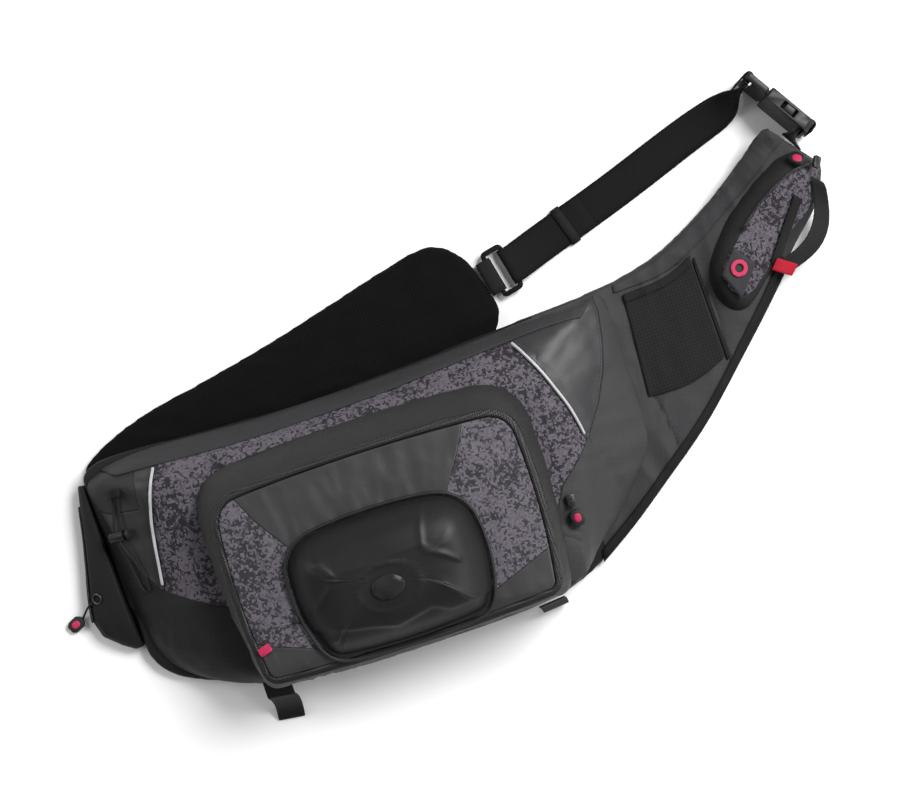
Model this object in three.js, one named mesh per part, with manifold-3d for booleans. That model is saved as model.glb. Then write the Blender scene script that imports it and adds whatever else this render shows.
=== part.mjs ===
// A sling bag for fishing tackle, lying on its back with its padded belt wing folded beneath it.
// Millimetres. X runs along the bag's top edge, Y from its bottom to its top edge, Z up to the front pocket.
import * as THREE from 'three';
import { mergeVertices } from 'three/addons/utils/BufferGeometryUtils.js';
import Module from 'manifold-3d';

// Driving sizes of the bag's body
const BODY_LENGTH = 500;
const BODY_WIDTH = 250;
const HARNESS_LENGTH = 236;
const PAD_THICKNESS = 12;
const PAD_EDGE_ROUND = 3;
const WING_THICKNESS = 13;
const MAIN_DEPTH = 44;
const POCKET_DEPTH = 36;
const DOME_HEIGHT = 30;
const SHELL_WALL = 2.5;
const POCKET_WALL = 2.4;
const DOME_WALL = 2.5;
const PANEL_THICKNESS = 3;
const PANEL_CROWN = 4;
const GAP = 0.3;
const FOLLOW_GAP = 0.5;

// Driving sizes of the trim
const BAND_THICKNESS = 1.2;
const BINDING_THICKNESS = 1.4;
const BINDING_WIDTH = 11;
const HARNESS_BAND_WIDTH = 21;
const PIPING_RADIUS = 1.5;
const ZIP_WIDTH = 7;
const ZIP_THICKNESS = 2.4;
const DOME_PIPING_RADIUS = 1.8;
const PATCH_THICKNESS = 1.2;
const PULLER_LENGTH = 15;
const PULLER_WIDTH = 12;
const PULLER_THICKNESS = 4;

// Driving sizes of the harness, the belt and the buckle
const SHOULDER_POCKET_HEIGHT = 24;
const SHOULDER_POCKET_WALL = 2;
const EYELET_RADIUS = 8;
const EYELET_HOLE_RADIUS = 4.2;
const EYELET_THICKNESS = 1.6;
const APEX_RISE = 34;
const STRAP_WIDTH = 35;
const STRAP_THICKNESS = 1.8;
const RING_WIRE = 4.6;
const RING_SLOT = 13;
const RING_CLEARANCE = 1.2;
const BUCKLE_LENGTH = 75;
const BUCKLE_WIDTH = 44;
const BUCKLE_THICKNESS = 12;
const BUCKLE_WALL = 2.2;
const BUCKLE_FIT = 0.5;
const TAB_WIDTH = 25;
const TAB_THICKNESS = 1.6;

// Driving sizes of the shock cord and its lock
const CORD_DIAMETER = 2.6;
const LOCK_DIAMETER = 10;
const LOCK_LENGTH = 15;
const LOCK_WALL = 1.6;
const LOCK_TRAVEL = 3;
const LOCK_FIT = 0.35;
const PULL_CORD_DIAMETER = 2;

// Colour, roughness and metalness of each material
const LOOKS = {
  ripstop: [0x1b1b1d, 0.85, 0],
  band: [0x2b2b2d, 0.8, 0],
  camo: [0x4a464c, 0.85, 0],
  mesh: [0x0d0d0e, 0.95, 0],
  webbing: [0x121213, 0.8, 0],
  leather: [0x1d1d1f, 0.5, 0],
  moulded: [0x29292b, 0.55, 0],
  reflective: [0xb9b9bb, 0.4, 0.1],
  plastic: [0x161617, 0.35, 0],
  pink: [0xc2204f, 0.5, 0],
  red: [0xb3202c, 0.6, 0],
  zip: [0x0e0e0f, 0.6, 0],
  metal: [0x9a9a9c, 0.3, 1],
};

const bag = new THREE.Group();
const V = (x, y, z) => new THREE.Vector3(x, y, z);
const lerp = THREE.MathUtils.lerp;
const smooth = THREE.MathUtils.smoothstep;

function piece(name, geometry, look) {
  const [color, roughness, metalness] = LOOKS[look];
  const mesh = new THREE.Mesh(geometry, new THREE.MeshStandardMaterial({ color, roughness, metalness }));
  mesh.name = name;
  bag.add(mesh);
  return mesh;
}

// A share of 0 to 1 lies on the body, and 1 to 2 on the harness beyond it.
function along(at) {
  return at <= 1 ? at * BODY_LENGTH : BODY_LENGTH + (at - 1) * HARNESS_LENGTH;
}

function across(share) {
  return share * BODY_WIDTH;
}

// The folded wing raises the bag's top edge; the harness comes down to the surface.
function lift(x, y) {
  const fade = 1 - smooth(x, 0.88 * BODY_LENGTH, BODY_LENGTH + 0.35 * HARNESS_LENGTH);
  return (WING_THICKNESS + 2 * GAP) * Math.max(0, Math.min(1, 1 + y / BODY_WIDTH)) * fade;
}

function padTop(x, y) {
  return lift(x, y) + PAD_THICKNESS;
}

function frontPlane(x, y) {
  return padTop(x, y) + MAIN_DEPTH;
}

// Closed body from a list of corner points and triangles, turned so that its faces point out
function closedBody(points, triangles) {
  let volume = 0;
  for (const [a, b, c] of triangles) {
    volume += points[a].dot(points[b].clone().cross(points[c]));
  }
  const index = volume < 0 ? triangles.map(([a, b, c]) => [a, c, b]) : triangles;
  const geometry = new THREE.BufferGeometry();
  const numbers = points.flatMap((p) => p.toArray());
  geometry.setAttribute('position', new THREE.Float32BufferAttribute(numbers, 3));
  geometry.setIndex(index.flat());
  return geometry;
}

// Body lofted through closed rings that hold the same number of points
function loft(rings, endless = false) {
  const count = rings[0].length;
  const points = rings.flat();
  const triangles = [];
  const last = endless ? rings.length : rings.length - 1;
  for (let r = 0; r < last; r += 1) {
    const next = (r + 1) % rings.length;
    for (let i = 0; i < count; i += 1) {
      const j = (i + 1) % count;
      triangles.push([r * count + i, r * count + j, next * count + j]);
      triangles.push([r * count + i, next * count + j, next * count + i]);
    }
  }
  if (!endless) {
    for (const [ring, turned] of [[0, true], [rings.length - 1, false]]) {
      const middle = points.length;
      points.push(rings[ring].reduce((sum, p) => sum.add(p), V(0, 0, 0)).divideScalar(count));
      for (let i = 0; i < count; i += 1) {
        const a = ring * count + i;
        const b = ring * count + ((i + 1) % count);
        triangles.push(turned ? [middle, b, a] : [middle, a, b]);
      }
    }
  }
  return closedBody(points, triangles);
}

// Wall between two grids of points; rows run round when it is a ring, and a capped end has a middle point
function wall(outer, inner, { ring = false, capped = false } = {}) {
  const rows = outer.length;
  const count = outer[0].length;
  const points = [...outer.flat(), ...inner.flat()];
  const half = rows * count;
  const triangles = [];
  const steps = ring ? count : count - 1;
  const quad = (a, b, c, d) => triangles.push([a, b, c], [a, c, d]);
  for (let r = 0; r < rows - 1; r += 1) {
    for (let i = 0; i < steps; i += 1) {
      const j = (i + 1) % count;
      quad(r * count + i, r * count + j, (r + 1) * count + j, (r + 1) * count + i);
      const low = half + r * count;
      quad(low + j, low + i, low + count + i, low + count + j);
    }
  }
  for (let i = 0; i < steps; i += 1) {
    const j = (i + 1) % count;
    quad(j, i, half + i, half + j);
    const top = (rows - 1) * count;
    if (!capped) {
      quad(top + i, top + j, half + top + j, half + top + i);
    }
  }
  if (capped) {
    for (const [grid, offset, turned] of [[outer, 0, false], [inner, half, true]]) {
      const middle = points.length;
      const edge = grid[rows - 1];
      points.push(edge.reduce((sum, p) => sum.add(p), V(0, 0, 0)).divideScalar(count));
      for (let i = 0; i < count; i += 1) {
        const a = offset + (rows - 1) * count + i;
        const b = offset + (rows - 1) * count + ((i + 1) % count);
        triangles.push(turned ? [middle, b, a] : [middle, a, b]);
      }
    }
  }
  if (!ring) {
    for (let r = 0; r < rows - 1; r += 1) {
      quad(r * count, (r + 1) * count, half + (r + 1) * count, half + r * count);
      const e = count - 1;
      quad((r + 1) * count + e, r * count + e, half + r * count + e, half + (r + 1) * count + e);
    }
  }
  return closedBody(points, triangles);
}

// Normals of a grid of points, on the side that the given hint points to
function gridNormals(grid, ring, hint) {
  return grid.map((row, r) => row.map((p, i) => {
    const count = row.length;
    const before = ring ? row[(i + count - 1) % count] : row[Math.max(i - 1, 0)];
    const after = ring ? row[(i + 1) % count] : row[Math.min(i + 1, count - 1)];
    const low = grid[Math.max(r - 1, 0)][i];
    const high = grid[Math.min(r + 1, grid.length - 1)][i];
    const normal = after.clone().sub(before).cross(high.clone().sub(low)).normalize();
    return normal.dot(hint(p)) < 0 ? normal.negate() : normal;
  }));
}

function offsetGrid(grid, normals, distance) {
  return grid.map((row, r) => row.map((p, i) => p.clone().addScaledVector(normals[r][i], distance)));
}

// Cloth of a given thickness that follows a grid of points at a clearance
function clothOn(grid, normals, clearance, thickness, options) {
  const top = offsetGrid(grid, normals, clearance + thickness);
  return wall(top, offsetGrid(grid, normals, clearance), options);
}

// Round bar along a smooth path
function bar(points, radius, sides = 6, steps = points.length * 2, endless = false) {
  const path = new THREE.CatmullRomCurve3(points, endless, 'centripetal');
  const section = new THREE.Shape();
  for (let i = 0; i < sides; i += 1) {
    const angle = (i / sides) * 2 * Math.PI;
    section[i ? 'lineTo' : 'moveTo'](radius * Math.cos(angle), radius * Math.sin(angle));
  }
  section.closePath();
  return new THREE.ExtrudeGeometry(section, { steps, extrudePath: path, bevelEnabled: false });
}

// Webbing through stations that hold a middle point, a direction across and an arch of its middle line
function ribbon(stations, width, thickness) {
  const shares = [-0.5, -0.17, 0.17, 0.5];
  const middle = stations.map((s) => shares.map((k) => {
    const p = s.at.clone().addScaledVector(s.across, k * width);
    return p.addScaledVector(s.up ?? V(0, 0, 1), (s.arch ?? 0) * (1 - 4 * k * k));
  }));
  const normals = middle.map((row, r) => row.map((p, i) => {
    const low = middle[Math.max(r - 1, 0)][i];
    const high = middle[Math.min(r + 1, middle.length - 1)][i];
    const side = row[Math.min(i + 1, 3)].clone().sub(row[Math.max(i - 1, 0)]);
    return high.clone().sub(low).cross(side).normalize();
  }));
  return wall(offsetGrid(middle, normals, thickness / 2), offsetGrid(middle, normals, -thickness / 2));
}

// Highest place of a mesh below a point, or the nearest place to it on the way to the mesh's middle
const caster = new THREE.Raycaster();
const SEAT_STEPS = 40;
function seat(mesh, x, y) {
  mesh.geometry.computeBoundingSphere();
  const centre = mesh.geometry.boundingSphere.center;
  for (let i = 0; i < SEAT_STEPS; i += 1) {
    caster.set(V(lerp(x, centre.x, i / SEAT_STEPS), lerp(y, centre.y, i / SEAT_STEPS), 400), V(0, 0, -1));
    const hit = caster.intersectObject(mesh)[0];
    if (hit) {
      return { p: V(x, y, hit.point.z), n: hit.face.normal.clone() };
    }
  }
  return { p: V(x, y, 0), n: V(0, 0, 1) };
}

function onMesh(mesh, x, y, height) {
  const { p, n } = seat(mesh, x, y);
  return p.addScaledVector(n, height);
}

// Moves a piece along a direction until a small gap is left to the pieces that carry it
function settle(mesh, bases, direction, gap = GAP) {
  const ahead = direction.clone().normalize();
  const nearest = (from, targets, way) => {
    const place = from.geometry.attributes.position;
    let reach = Infinity;
    for (let i = 0; i < place.count; i += 1) {
      caster.set(V(0, 0, 0).fromBufferAttribute(place, i), way);
      const hit = caster.intersectObjects(targets)[0];
      reach = Math.min(reach, hit ? hit.distance : Infinity);
    }
    return reach;
  };
  const there = nearest(mesh, bases, ahead);
  const back = Math.min(...bases.map((base) => nearest(base, [mesh], ahead.clone().negate())));
  const shift = ahead.multiplyScalar(Math.min(there, back) - gap);
  mesh.geometry.translate(...shift.toArray());
  return shift;
}

// Rounded four-sided outline with the same number of points for any size
function roundedOutline({ left, right, bottom, top, topRound, bottomRound, bow = 0 }) {
  const outline = [];
  const corners = [
    [right - topRound, top - topRound, topRound, 0],
    [left + topRound, top - topRound, topRound, 1],
    [left + bottomRound, bottom + bottomRound, bottomRound, 2],
    [right - bottomRound, bottom + bottomRound, bottomRound, 3],
  ];
  const cornerSteps = 4;
  const edgeSteps = [6, 4, 6, 4];
  corners.forEach(([cx, cy, radius, quarter], k) => {
    for (let i = 0; i <= cornerSteps; i += 1) {
      const angle = (quarter + i / cornerSteps) * (Math.PI / 2);
      outline.push([cx + radius * Math.cos(angle), cy + radius * Math.sin(angle)]);
    }
    const from = outline[outline.length - 1];
    const [nx, ny, nr, nq] = corners[(k + 1) % 4];
    const angle = nq * (Math.PI / 2);
    const to = [nx + nr * Math.cos(angle), ny + nr * Math.sin(angle)];
    const middle = [(left + right) / 2, (bottom + top) / 2];
    for (let i = 1; i < edgeSteps[k]; i += 1) {
      const share = i / edgeSteps[k];
      const x = lerp(from[0], to[0], share);
      const y = lerp(from[1], to[1], share);
      const out = bow * 4 * share * (1 - share);
      const onTopOrBottom = k % 2 === 0;
      outline.push(onTopOrBottom ? [x, y + out * Math.sign(y - middle[1])]
        : [x + out * Math.sign(x - middle[0]), y]);
    }
  });
  return outline;
}

// Back pad and harness: a padded slab through sections from the left end to the buckle.
// Each row gives the inner (top) and the outer (bottom) edge: at along the bag, y as a share of the width.
const PAD_SECTIONS = [
  { inAt: -0.008, inY: -0.04, outAt: 0.004, outY: -0.74, rise: 0 },
  { inAt: 0.03, inY: 0.0, outAt: 0.04, outY: -0.84, rise: 0 },
  { inAt: 0.12, inY: 0.0, outAt: 0.12, outY: -0.915, rise: 0 },
  { inAt: 0.24, inY: -0.016, outAt: 0.24, outY: -1.0, rise: 0 },
  { inAt: 0.42, inY: -0.028, outAt: 0.42, outY: -1.016, rise: 0 },
  { inAt: 0.6, inY: -0.016, outAt: 0.6, outY: -1.016, rise: 0 },
  { inAt: 0.79, inY: 0.008, outAt: 0.78, outY: -0.99, rise: 0 },
  { inAt: 0.93, inY: 0.024, outAt: 0.9, outY: -0.87, rise: 0 },
  { inAt: 1.09, inY: 0.05, outAt: 1.04, outY: -0.7, rise: 0 },
  { inAt: 1.27, inY: 0.095, outAt: 1.25, outY: -0.55, rise: 0.02 },
  { inAt: 1.43, inY: 0.17, outAt: 1.47, outY: -0.35, rise: 0.06 },
  { inAt: 1.54, inY: 0.24, outAt: 1.63, outY: -0.2, rise: 0.12 },
  { inAt: 1.64, inY: 0.305, outAt: 1.79, outY: -0.04, rise: 0.25 },
  { inAt: 1.71, inY: 0.352, outAt: 1.905, outY: 0.06, rise: 0.5 },
  { inAt: 1.757, inY: 0.385, outAt: 1.96, outY: 0.15, rise: 0.7 },
  { inAt: 1.787, inY: 0.402, outAt: 1.975, outY: 0.225, rise: 0.8 },
];
const PAD_STATIONS = 42;

const padInner = new THREE.CatmullRomCurve3(
  PAD_SECTIONS.map((s) => V(along(s.inAt), across(s.inY), s.rise * APEX_RISE)), false, 'catmullrom', 0.5);
const padOuter = new THREE.CatmullRomCurve3(
  PAD_SECTIONS.map((s) => V(along(s.outAt), across(s.outY), 0)), false, 'catmullrom', 0.5);

const padStations = Array.from({ length: PAD_STATIONS }, (_, i) => {
  const t = i / (PAD_STATIONS - 1);
  const inner = padInner.getPoint(t);
  const outer = padOuter.getPoint(t);
  inner.z = Math.max(inner.z, 0) + lift(inner.x, inner.y);
  outer.z = lift(outer.x, outer.y);
  const ahead = padInner.getTangent(t).add(padOuter.getTangent(t)).setZ(0).normalize();
  const side = outer.clone().sub(inner).normalize();
  const tilt = Math.min(1, inner.z > 20 ? (inner.z - 20) / 12 : 0);
  const up = V(0, 0, 1).lerp(side.clone().cross(ahead), tilt).normalize();
  return { inner, outer, up: up.z < 0 ? up.negate() : up };
});

// Point on the pad: u along from 0 to 1, v across from the inner to the outer edge, h above its underside
function padPoint(u, v, h) {
  const place = Math.min(Math.max(u, 0), 1) * (PAD_STATIONS - 1);
  const low = Math.min(Math.floor(place), PAD_STATIONS - 2);
  const share = place - low;
  const a = padStations[low];
  const b = padStations[low + 1];
  const pick = (s) => s.inner.clone().lerp(s.outer, v).addScaledVector(s.up, h);
  return pick(a).lerp(pick(b), share);
}

function padSection(u) {
  const width = padPoint(u, 0, 0).distanceTo(padPoint(u, 1, 0));
  const edge = PAD_EDGE_ROUND / width;
  const t = PAD_THICKNESS;
  const profile = [[edge, 0], [0.33, 0], [0.67, 0], [1 - edge, 0], [1, t * 0.3], [1, t * 0.7],
    [1 - edge, t], [0.75, t], [0.5, t], [0.25, t], [edge, t], [0, t * 0.7], [0, t * 0.3]];
  return profile.map(([v, h]) => padPoint(u, v, h));
}

const padRings = padStations.map((_, i) => padSection(i / (PAD_STATIONS - 1)));
const backPad = piece('back_pad', loft(padRings), 'ripstop');

// Cloth patch on the pad's top face between two stations and two shares across
function padPatch(u0, u1, v0, v1, height, thickness, rows = 10, columns = 4) {
  const lowGrid = [];
  const highGrid = [];
  for (let r = 0; r <= rows; r += 1) {
    const u = lerp(u0, u1, r / rows);
    const from = typeof v0 === 'function' ? v0(u) : v0;
    const to = typeof v1 === 'function' ? v1(u) : v1;
    const shares = Array.from({ length: columns + 1 }, (_, c) => lerp(from, to, c / columns));
    lowGrid.push(shares.map((v) => padPoint(u, v, PAD_THICKNESS + height)));
    highGrid.push(shares.map((v) => padPoint(u, v, PAD_THICKNESS + height + thickness)));
  }
  return wall(highGrid, lowGrid);
}

// Binding tape folded round the pad's outer edge, from the bag's bottom right corner to the buckle
function bindingGeometry(u0, u1, rows) {
  const grid = [];
  const ups = [];
  for (let r = 0; r <= rows; r += 1) {
    const u = lerp(u0, u1, r / rows);
    const width = padPoint(u, 0, 0).distanceTo(padPoint(u, 1, 0));
    const edge = PAD_EDGE_ROUND / width;
    const reach = BINDING_WIDTH / width;
    const t = PAD_THICKNESS;
    const profile = [[1 - reach, t], [1 - edge, t], [1, t * 0.7], [1, t * 0.3]];
    const directions = [[0, 1], [0.45, 1], [1, 0.45], [1, 0]];
    grid.push(profile.map(([v, h]) => padPoint(u, v, h)));
    const outward = padPoint(u, 1, 0).sub(padPoint(u, 0, 0)).normalize();
    const upward = padPoint(u, 1, 1).sub(padPoint(u, 1, 0)).normalize();
    ups.push(directions.map(([o, h]) => outward.clone().multiplyScalar(o).addScaledVector(upward, h)));
  }
  return clothOn(grid, ups, FOLLOW_GAP, BINDING_THICKNESS);
}
piece('edge_binding', bindingGeometry(0.44, 0.775, 22), 'webbing');

// Main compartment: a shell whose rim lies on the pad and whose front carries the pocket.
// Each row is a station round the shell: the rim, the shoulder above it and the edge of the flat front.
const SHELL_STATIONS = [
  { rimAt: 0.006, rimY: -0.06, midAt: 0.044, midY: -0.088, midUp: 0.5, topAt: 0.15, topY: -0.19 },
  { rimAt: 0.12, rimY: -0.016, midAt: 0.136, midY: -0.084, midUp: 0.53, topAt: 0.22, topY: -0.165 },
  { rimAt: 0.32, rimY: -0.035, midAt: 0.3, midY: -0.1, midUp: 0.56, topAt: 0.32, topY: -0.15 },
  { rimAt: 0.56, rimY: -0.032, midAt: 0.55, midY: -0.092, midUp: 0.56, topAt: 0.54, topY: -0.15 },
  { rimAt: 0.78, rimY: -0.01, midAt: 0.77, midY: -0.06, midUp: 0.53, topAt: 0.72, topY: -0.155 },
  { rimAt: 0.94, rimY: 0.008, midAt: 0.91, midY: -0.045, midUp: 0.43, topAt: 0.79, topY: -0.2 },
  { rimAt: 1.0, rimY: 0.004, midAt: 0.955, midY: -0.07, midUp: 0.3, topAt: 0.82, topY: -0.3 },
  { rimAt: 1.008, rimY: -0.18, midAt: 0.955, midY: -0.2, midUp: 0.36, topAt: 0.83, topY: -0.42 },
  { rimAt: 1.012, rimY: -0.4, midAt: 0.92, midY: -0.38, midUp: 0.42, topAt: 0.83, topY: -0.52 },
  { rimAt: 1.0, rimY: -0.56, midAt: 0.9, midY: -0.54, midUp: 0.48, topAt: 0.83, topY: -0.62 },
  { rimAt: 0.945, rimY: -0.7, midAt: 0.875, midY: -0.68, midUp: 0.52, topAt: 0.826, topY: -0.72 },
  { rimAt: 0.875, rimY: -0.835, midAt: 0.85, midY: -0.82, midUp: 0.56, topAt: 0.82, topY: -0.85 },
  { rimAt: 0.765, rimY: -0.935, midAt: 0.785, midY: -0.97, midUp: 0.6, topAt: 0.78, topY: -0.955 },
  { rimAt: 0.5, rimY: -0.995, midAt: 0.5, midY: -1.0, midUp: 0.6, topAt: 0.5, topY: -0.985 },
  { rimAt: 0.2, rimY: -0.96, midAt: 0.21, midY: -0.965, midUp: 0.55, topAt: 0.25, topY: -0.93 },
  { rimAt: 0.065, rimY: -0.84, midAt: 0.095, midY: -0.81, midUp: 0.5, topAt: 0.185, topY: -0.78 },
  { rimAt: 0.02, rimY: -0.68, midAt: 0.066, midY: -0.61, midUp: 0.5, topAt: 0.163, topY: -0.62 },
  { rimAt: 0.008, rimY: -0.4, midAt: 0.068, midY: -0.39, midUp: 0.53, topAt: 0.158, topY: -0.46 },
  { rimAt: 0.002, rimY: -0.17, midAt: 0.07, midY: -0.19, midUp: 0.53, topAt: 0.155, topY: -0.3 },
];
const SHELL_COUNT = SHELL_STATIONS.length * 3;
const SHELL_BULGE = 3.5;

function shellRing(atKey, yKey, height) {
  const curve = new THREE.CatmullRomCurve3(
    SHELL_STATIONS.map((s) => V(along(s[atKey]), across(s[yKey]), height(s))), true, 'catmullrom', 0.5);
  return Array.from({ length: SHELL_COUNT }, (_, i) => curve.getPoint(i / SHELL_COUNT));
}

const shellMiddle = V(0.47 * BODY_LENGTH, -0.55 * BODY_WIDTH, 0);
const rimRing = shellRing('rimAt', 'rimY', () => 0);
rimRing.forEach((p) => {
  const reach = 1 - (SHELL_WALL + PAD_EDGE_ROUND) / Math.hypot(p.x - shellMiddle.x, p.y - shellMiddle.y);
  const inward = shellMiddle.clone().lerp(p, reach);
  p.z = seat(backPad, inward.x, inward.y).p.z + FOLLOW_GAP;
});
const midRing = shellRing('midAt', 'midY', (s) => s.midUp * MAIN_DEPTH);
midRing.forEach((p) => { p.z += padTop(p.x, p.y) + GAP; });
const topRing = shellRing('topAt', 'topY', () => 0);
topRing.forEach((p) => { p.z = frontPlane(p.x, p.y); });

// Ring between two others, pushed out at right angles to the chord between them
function bulgedRing(low, high, share, bulge) {
  return low.map((p, i) => {
    const chord = high[i].clone().sub(p);
    const run = Math.hypot(chord.x, chord.y);
    const reach = Math.hypot(run, chord.z);
    const out = V(-chord.x, -chord.y, 0).normalize().multiplyScalar(chord.z / reach).setZ(run / reach);
    return p.clone().lerp(high[i], share).addScaledVector(out, bulge * 4 * share * (1 - share));
  });
}

const shellOuter = [
  rimRing,
  bulgedRing(rimRing, midRing, 0.5, SHELL_BULGE),
  midRing,
  bulgedRing(midRing, topRing, 0.5, SHELL_BULGE * 0.8),
  topRing,
];
const shellOut = (p) => V(p.x - shellMiddle.x, p.y - shellMiddle.y, 60).normalize();
const shellNormals = gridNormals(shellOuter, true, shellOut);
shellNormals[4].forEach((n) => n.set(0, 0, 1));
const shellInner = offsetGrid(shellOuter, shellNormals, -SHELL_WALL);
shellInner[0].forEach((p, i) => {
  const inward = V(shellMiddle.x - rimRing[i].x, shellMiddle.y - rimRing[i].y, 0).normalize();
  p.copy(rimRing[i]).addScaledVector(inward, SHELL_WALL);
  p.z = seat(backPad, p.x, p.y).p.z + FOLLOW_GAP;
});
const mainShell = piece('main_shell',
  wall(shellOuter, shellInner, { ring: true, capped: true }), 'camo');

// Band along the top edge of the shell, and on along the harness's inner edge
const BAND_FIRST = 1;
const BAND_LAST = 17;
const bandRows = [0, 1, 2].map((r) => shellOuter[r].slice(BAND_FIRST, BAND_LAST + 1));
const bandNormals = [0, 1, 2].map((r) => shellNormals[r].slice(BAND_FIRST, BAND_LAST + 1));
bandRows[0] = bandRows[0].map((p, i) => p.clone().lerp(bandRows[1][i], 0.12));
piece('top_band', clothOn(bandRows, bandNormals, GAP, BAND_THICKNESS), 'band');
const bandShare = (u) => HARNESS_BAND_WIDTH * (0.5 + 0.5 * smooth(u, 0.5, 0.62))
  / padPoint(u, 0, 0).distanceTo(padPoint(u, 1, 0));
piece('shoulder_band', padPatch(0.522, 0.99, 0.02, bandShare, FOLLOW_GAP, BAND_THICKNESS, 22, 2), 'band');

// Reflective piping over the shell
const PIPING_STEPS = 12;
function pipingOn(points, radius) {
  const route = new THREE.CatmullRomCurve3(points.map(([at, y]) => V(along(at), across(y), 0)));
  const places = route.getPoints(PIPING_STEPS);
  const seats = places.map((p) => onMesh(mainShell, p.x, p.y, radius + 2 * FOLLOW_GAP));
  return bar(seats, radius, 6, PIPING_STEPS);
}
const PIPING_LEFT = [[0.134, -0.098], [0.115, -0.2], [0.102, -0.3], [0.094, -0.4], [0.086, -0.5]];
const PIPING_RIGHT = [[0.814, -0.068], [0.842, -0.17], [0.86, -0.26], [0.876, -0.35], [0.885, -0.45]];
piece('piping_left', pipingOn(PIPING_LEFT, PIPING_RADIUS), 'reflective');
piece('piping_right', pipingOn(PIPING_RIGHT, PIPING_RADIUS), 'reflective');

// Front pocket: its gusset stands on the shell's flat front, the zip runs round its crest
// Shares of the body's length and width; the two draws narrow an outline toward its bottom.
const POCKET_BASE = {
  left: 0.176, right: 0.808, bottom: -0.97, top: -0.16, leftDraw: 0.036, rightDraw: 0.022,
  topRound: 0.18, bottomRound: 0.06,
};
const POCKET_CREST = {
  left: 0.213, right: 0.781, bottom: -0.95, top: -0.252, leftDraw: 0.005, rightDraw: 0.012,
  topRound: 0.12, bottomRound: 0.06,
};
const DOME_BASE = {
  left: 0.304, right: 0.664, bottom: -0.925, top: -0.475, leftDraw: 0.034, rightDraw: 0.02,
  topRound: 0.16, bottomRound: 0.08,
};

function pocketOutline(shares, inset, bow) {
  const left = along(shares.left) + inset;
  const right = along(shares.right) - inset;
  const bottom = across(shares.bottom) + inset;
  const top = across(shares.top) - inset;
  const outline = roundedOutline({
    left,
    right,
    bottom,
    top,
    topRound: Math.max(4, shares.topRound * BODY_WIDTH - inset),
    bottomRound: Math.max(3, shares.bottomRound * BODY_WIDTH - inset),
    bow,
  });
  return outline.map(([x, y]) => {
    const draw = lerp(along(shares.leftDraw), -along(shares.rightDraw), (x - left) / (right - left));
    return [x + draw * (top - y) / (top - bottom), y];
  });
}

function plateRow(outline, height) {
  return outline.map(([x, y]) => V(x, y, frontPlane(x, y) + height));
}

const POCKET_BOW = 4;
const gussetBase = plateRow(pocketOutline(POCKET_BASE, 0, POCKET_BOW), GAP);
const gussetCrest = plateRow(pocketOutline(POCKET_CREST, 0, POCKET_BOW), POCKET_DEPTH);
const GUSSET_BULGE = 3.5;
const gussetOuter = [
  gussetBase,
  bulgedRing(gussetBase, gussetCrest, 0.33, GUSSET_BULGE),
  bulgedRing(gussetBase, gussetCrest, 0.7, GUSSET_BULGE),
  gussetCrest,
];
const GUSSET_TURN = 60;
const gussetInner = gussetOuter.map((row, r) => row.map((p) => {
  const inward = V(0.49 * BODY_LENGTH - p.x, -0.6 * BODY_WIDTH - p.y, 0);
  inward.clampScalar(-GUSSET_TURN, GUSSET_TURN);
  const drop = r === 0 ? 0 : POCKET_WALL * 0.4;
  return p.clone().addScaledVector(inward.normalize(), POCKET_WALL).sub(V(0, 0, drop));
}));
piece('pocket_gusset', wall(gussetOuter, gussetInner, { ring: true }), 'ripstop');

const crestOf = (inset) => pocketOutline(POCKET_CREST, inset, POCKET_BOW);
const zipLow = POCKET_DEPTH + GAP;
const ZIP_OUTER = [[-0.6, 0], [1, ZIP_THICKNESS], [ZIP_WIDTH, ZIP_THICKNESS]];
const ZIP_INNER = [[1.6, 0], [2.4, 0.3], [ZIP_WIDTH, 0.6]];
const zipRows = (rows) => rows.map(([inset, up]) => plateRow(crestOf(inset), zipLow + up));
piece('pocket_zip', wall(zipRows(ZIP_OUTER), zipRows(ZIP_INNER), { ring: true }), 'zip');

// Front panel: a crowned plate round the opening that the dome covers
const panelInset = ZIP_WIDTH + GAP;
const panelEdge = crestOf(panelInset);
const domeHole = pocketOutline(DOME_BASE, 9, 2);
const panelLow = POCKET_DEPTH + ZIP_THICKNESS - PANEL_THICKNESS * 0.5;
function panelRow(share, height) {
  return panelEdge.map(([x, y], i) => {
    const px = lerp(x, domeHole[i][0], share);
    const py = lerp(y, domeHole[i][1], share);
    const crown = PANEL_CROWN * Math.sin(share * Math.PI / 2);
    return V(px, py, frontPlane(px, py) + panelLow + crown + height);
  });
}
const PANEL_SHARES = [0, 0.25, 0.6, 1];
const panelRows = (height) => PANEL_SHARES.map((s) => panelRow(s, height));
const pocketPanel = piece('pocket_panel',
  wall(panelRows(PANEL_THICKNESS), panelRows(0), { ring: true }), 'leather');

// Moulded dome: rises from its flange to a faceted top
const DOME_ROWS = [
  { inset: 0, up: 0.0 },
  { inset: 4, up: 0.14 },
  { inset: 13, up: 0.6 },
  { inset: 24, up: 0.86 },
  { inset: 40, up: 0.98 },
];
const FACET_DEPTH = 2.2;
const FACET_COUNT = 6;
const domeLow = panelLow + PANEL_THICKNESS + PANEL_CROWN + FOLLOW_GAP;
function domeRow({ inset, up }, row) {
  const outline = pocketOutline(DOME_BASE, inset, 3);
  return outline.map(([x, y], i) => {
    const wave = Math.cos((i / outline.length) * 2 * FACET_COUNT * Math.PI);
    const facet = row === 3 || row === 2 ? FACET_DEPTH * (wave - 1) / 2 : 0;
    return V(x, y, frontPlane(x, y) + domeLow + up * DOME_HEIGHT + facet);
  });
}
const domeOuter = DOME_ROWS.map((row, r) => domeRow(row, r));
const domeInner = DOME_ROWS.map((row, r) => domeRow({ inset: row.inset + DOME_WALL, up: row.up }, r)
  .map((p) => p.add(V(0, 0, r === 0 ? 0 : -DOME_WALL))));
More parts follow.
